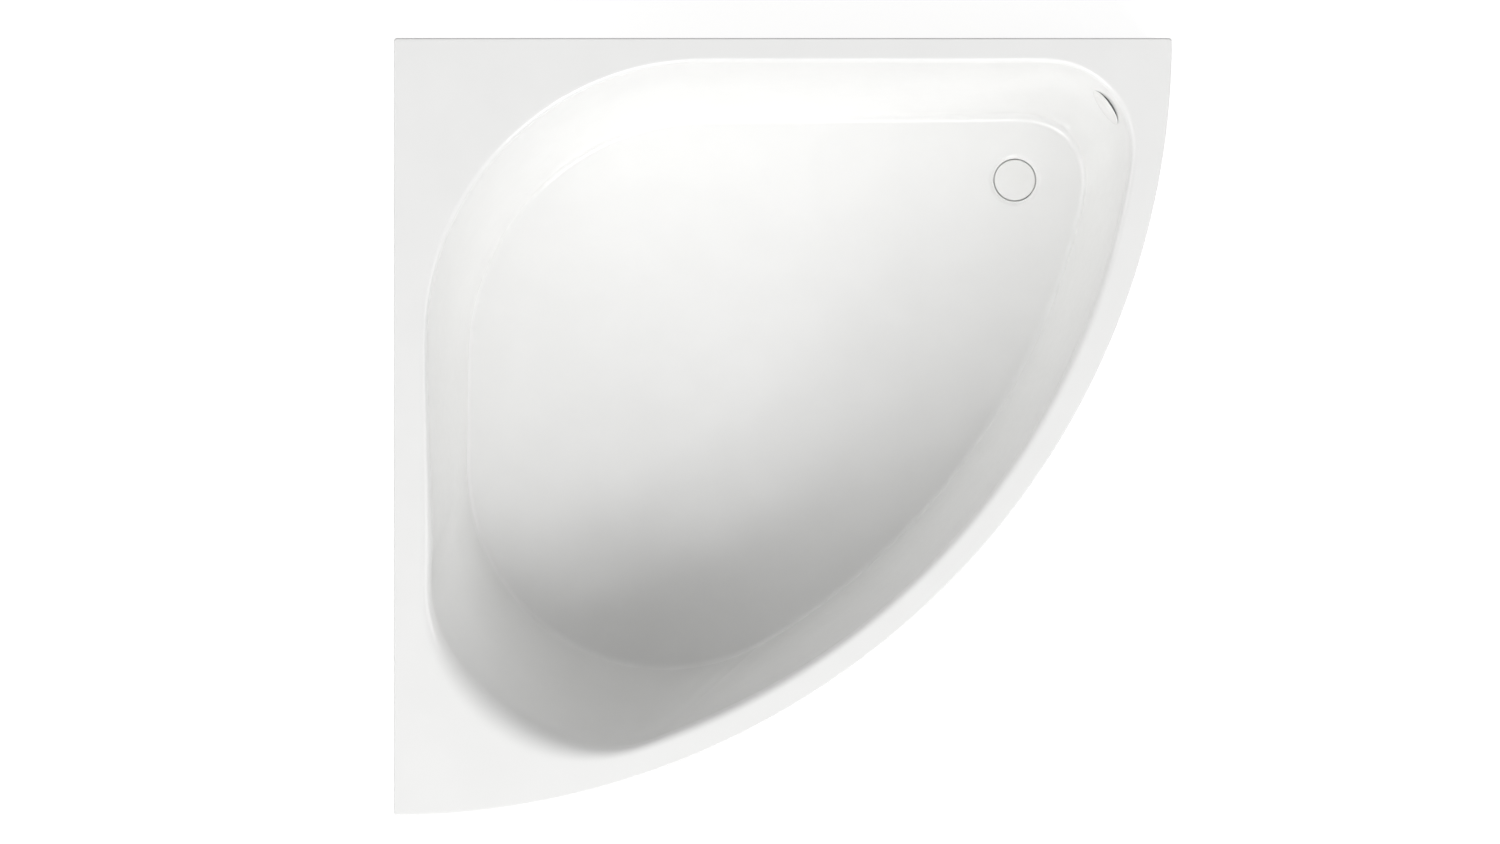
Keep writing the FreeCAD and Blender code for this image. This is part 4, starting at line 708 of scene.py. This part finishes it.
def fibreglass():
    """Hand-laid laminate: milky straw resin over chopped strands, rough as it comes."""
    material, tree, shader = new_material("fibreglass", 0.5)
    place = place_in(tree)
    bend = node(tree, "ShaderNodeTexNoise", Vector=place, Scale=18.0, Detail=2.0)
    bent = node(tree, "ShaderNodeMixRGB", {"blend_type": "LINEAR_LIGHT"}, Fac=0.012,
                Color1=place, Color2=bend.outputs["Color"]).outputs["Color"]
    mat = None
    for angle in (0.35, 1.5, 2.6):      # three directions of strands, 50 mm long, 2 mm wide
        lay = node(tree, "ShaderNodeMapping", Rotation=(angle, angle * 0.7, angle),
                   Scale=(20.0, 420.0, 420.0), Vector=bent)
        strands = node(tree, "ShaderNodeTexNoise", Vector=lay.outputs["Vector"], Scale=1.0,
                       Detail=1.0).outputs["Fac"]
        mat = strands if mat is None else node(
            tree, "ShaderNodeMath", {"operation": "MAXIMUM"}, Value=mat).outputs[0]
        if mat is not strands:
            tree.links.new(strands, mat.node.inputs[1])
    tree.links.new(ramp(tree, mat, (0.45, "#BEB6A0"), (0.6, "#D3CCB8"), (0.78, "#E8E3D5")),
                   shader.inputs["Base Color"])
    tree.links.new(spread(tree, mat, 0.32, 0.62), shader.inputs["Roughness"])
    relief(tree, shader, mat, 0.5 * MM)
    return material


def chipboard():
    """Pressed board: flakes of 3 to 8 mm in browns from straw to bark, slightly open."""
    material, tree, shader = new_material("chipboard", 0.78)
    place = place_in(tree, (1.0, 1.6, 2.4))
    flakes = node(tree, "ShaderNodeTexVoronoi", Vector=place, Scale=170.0, Randomness=1.0)
    tone = node(tree, "ShaderNodeSeparateColor", Color=flakes.outputs["Color"]).outputs["Red"]
    tree.links.new(ramp(tree, tone, (0.0, "#8A6C4A"), (0.35, "#B4946A"), (0.75, "#CBAF86"),
                        (1.0, "#DCC7A2")), shader.inputs["Base Color"])
    relief(tree, shader, flakes.outputs["Distance"], 0.25 * MM)
    return material


def softwood(name, along):
    """Planed spruce: straw-coloured, with darker late wood lines along the batten."""
    material, tree, shader = new_material(name, 0.6)
    place = place_in(tree, along)
    rings = node(tree, "ShaderNodeTexNoise", {"noise_dimensions": "3D"}, Vector=place,
                 Scale=1.0, Detail=4.0, Distortion=0.6)
    tree.links.new(ramp(tree, rings.outputs["Fac"], (0.3, "#C99D64"), (0.42, "#DDBB88"),
                        (0.55, "#E9CFA3"), (0.72, "#D9B680")), shader.inputs["Base Color"])
    relief(tree, shader, rings.outputs["Fac"], 0.15 * MM)
    return material


def galvanised_steel():
    """Hot-dip zinc sheet: dull grey crystals 4 to 8 mm across, each at its own shade."""
    material, tree, shader = new_material("galvanised_steel", 0.4, metallic=1.0)
    place = place_in(tree)
    crystals = node(tree, "ShaderNodeTexVoronoi", Vector=place, Scale=160.0, Randomness=1.0)
    tone = node(tree, "ShaderNodeSeparateColor", Color=crystals.outputs["Color"])
    tree.links.new(ramp(tree, tone.outputs["Red"], (0.0, "#A4A8AB"), (0.5, "#B4B8BA"),
                        (1.0, "#C9CCCE")), shader.inputs["Base Color"])
    tree.links.new(spread(tree, tone.outputs["Green"], 0.3, 0.52), shader.inputs["Roughness"])
    return material


def turned_metal(name, light, dark, roughness, grain):
    """Plated or polished metal with a fine grain of a given width and slight stains."""
    material, tree, shader = new_material(name, roughness, metallic=1.0)
    place = place_in(tree, (1.0, 1.0, 6.0))
    lines = node(tree, "ShaderNodeTexNoise", Vector=place, Scale=1 / grain, Detail=2.0)
    stain = node(tree, "ShaderNodeTexNoise", Vector=place, Scale=40.0, Detail=3.0)
    tree.links.new(ramp(tree, stain.outputs["Fac"], (0.35, dark), (0.65, light)),
                   shader.inputs["Base Color"])
    tree.links.new(spread(tree, lines.outputs["Fac"], roughness * 0.7, roughness * 1.3),
                   shader.inputs["Roughness"])
    relief(tree, shader, lines.outputs["Fac"], 0.02 * MM)
    return material


MATERIALS = {
    "sanitary_acrylic": sanitary_acrylic(),
    "fibreglass": fibreglass(),
    "chipboard": chipboard(),
    "softwood": softwood("softwood", (6.0, 260.0, 260.0)),
    "galvanised_steel": galvanised_steel(),
    # zinc-plated screws and spindles: bluish, bright, with a turned grain
    "zinc_plated_steel": turned_metal("zinc_plated_steel", "#C6CBD0", "#AEB4BA", 0.28, 0.3 * MM),
    # polished steel of the waste's flange and the overflow's screws
    "stainless_steel": turned_metal("stainless_steel", "#CFCFCD", "#BDBDBB", 0.18, 0.2 * MM),
    # glossy white ABS of the cover and the knob: mirror-smooth to the eye
    "gloss_white_plastic": moulding("gloss_white_plastic", "#F1F1F0", "#EEEEEC", 0.12, 2 * MM,
                                    0.004 * MM),
    # satin polypropylene of the waste and trap bodies, faintly milky
    "white_plastic": moulding("white_plastic", "#E4E4E0", "#DBDBD6", 0.38, 0.8 * MM, 0.02 * MM),
    # dull ribbed polyethylene hose
    "grey_hose": moulding("grey_hose", "#B9BBBC", "#ABADAE", 0.45, 1 * MM, 0.02 * MM),
    # textured black nylon of the foot pads and the rocker
    "black_plastic": moulding("black_plastic", "#26272A", "#1C1D1F", 0.5, 0.6 * MM, 0.04 * MM),
    # matt seal rubber with a dusty bloom
    "black_rubber": moulding("black_rubber", "#2B2B2B", "#1E1E1E", 0.75, 0.5 * MM, 0.03 * MM),
    # waxy acetal of the stem, the spindle and the faceplate
    "grey_plastic": moulding("grey_plastic", "#7C7F82", "#72757A", 0.33, 0.7 * MM, 0.015 * MM),
    # extruded sheath of the control cable
    "cable_sheath": moulding("cable_sheath", "#202124", "#17181A", 0.42, 0.8 * MM, 0.01 * MM),
}
MATERIALS["left_batten"] = softwood("softwood_left", (260.0, 6.0, 260.0))


def dress(piece, slot, body, *nodes):
    """Finish a new piece: the material of the slot it stands for, its body, and its CAD nodes,
    which it hides.
    """
    piece.data.materials.append(MATERIALS[slot])
    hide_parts(*nodes)
    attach(piece, body)


for part in frame["record"]["subparts"]:
    slot = "left_batten" if part["node"] == "rim_batten_left" else part["material_slot"]
    for holder in frame["nodes"][part["node"]].material_slots:
        holder.material = MATERIALS[slot]


dress(acrylic_moulding(), "sanitary_acrylic", "tub", "acrylic_shell")
dress(laminate_layer(), "fibreglass", "tub", "laminate_backing")
dress(apron(), "sanitary_acrylic", "tub", "front_panel")
dress(waste_cover(), "gloss_white_plastic", "plug", "plug_cover")
dress(overflow_knob(), "gloss_white_plastic", "knob", "overflow_rosette")
for name in ("rail_back", "rail_middle", "rail_front"):
    dress(folded_rail(name), "galvanised_steel", "tub", name)
for k in range(1, 7):
    dress(threaded_spindle(k), "zinc_plated_steel", f"foot_{k}", f"foot_{k}_spindle")
    dress(ribbed_pad(k), "black_plastic", f"foot_{k}", f"foot_{k}_pad")
    for place in ("lower", "upper"):
        dress(hexagon_nut(k, place), "zinc_plated_steel", f"nuts_{k}", f"foot_{k}_nuts")


# ---------------------------------------------------------------- floor, light and camera
def plainly_seen(tree):
    """1 for rays from the camera and through reflections or clear pieces, 0 for light's."""
    path = node(tree, "ShaderNodeLightPath")
    seen = path.outputs["Is Camera Ray"]
    for kind in ("Is Glossy Ray", "Is Transmission Ray"):
        both = node(tree, "ShaderNodeMath", {"operation": "MAXIMUM"})
        tree.links.new(seen, both.inputs[0])
        tree.links.new(path.outputs[kind], both.inputs[1])
        seen = both.outputs[0]
    return seen


def studio_floor():
    """Grey floor, so that little light comes up from it, that shows white where it is seen."""
    points = np.array([[(-40, -40, 0), (40, -40, 0)], [(-40, 40, 0), (40, 40, 0)]], float)
    floor = grid_piece("studio_floor", points, flip=True)
    material, tree, shader = new_material("studio_grey", 0.9)
    shader.inputs["Base Color"].default_value = colour("#949494")
    tree.links.new(spread(tree, plainly_seen(tree), 0.0, FLOOR_GLOW),
                   shader.inputs["Emission Strength"])
    shader.inputs["Emission Color"].default_value = (1, 1, 1, 1)
    floor.data.materials.append(material)


def lamp(name, azimuth, height, size, power, distance=18.0):
    """Square soft lamp that looks at the tub's middle, azimuth from +X and height in degrees."""
    data = bpy.data.lights.new(name, "AREA")
    data.shape = "SQUARE"
    data.size = size
    data.energy = power
    made = bpy.data.objects.new(name, data)
    bpy.context.scene.collection.objects.link(made)
    azimuth, height = math.radians(azimuth), math.radians(height)
    way = Vector((math.cos(height) * math.cos(azimuth), math.cos(height) * math.sin(azimuth),
                  math.sin(height)))
    made.location = Vector((0.0, 0.0, 0.4)) + way * distance
    made.rotation_mode = "QUATERNION"
    made.rotation_quaternion = way.to_track_quat("Z", "Y")


def studio_light():
    """Four soft lamps in front, one at each side, and a pale room that shows white."""
    lamp("front_left_high", 252, 50, 5.85, 413)
    lamp("front_right_high", 288, 50, 5.85, 728)
    lamp("front_left", 235, 38, 5.85, 712)
    lamp("front_right", 305, 38, 5.85, 735)
    lamp("left", 180, 30, 10.0, 771)
    lamp("right", 0, 30, 10.0, 653)
    world = bpy.data.worlds.new("studio")
    bpy.context.scene.world = world
    world.use_nodes = True
    tree = world.node_tree
    back = tree.nodes["Background"]
    back.inputs["Color"].default_value = (1, 1, 1, 1)
    tree.links.new(spread(tree, plainly_seen(tree), ROOM_LIGHT, 1.0), back.inputs["Strength"])


def camera():
    """Long lens straight above the tub, as the photo was taken, back wall at the top."""
    data = bpy.data.cameras.new("camera")
    data.lens = 300
    data.sensor_width = 36
    data.clip_end = 200
    made = bpy.data.objects.new("camera", data)
    made.location = CAMERA_PLACE
    bpy.context.scene.collection.objects.link(made)
    bpy.context.scene.camera = made


studio_floor()
studio_light()
camera()
bpy.context.scene.view_settings.view_transform = "Standard"
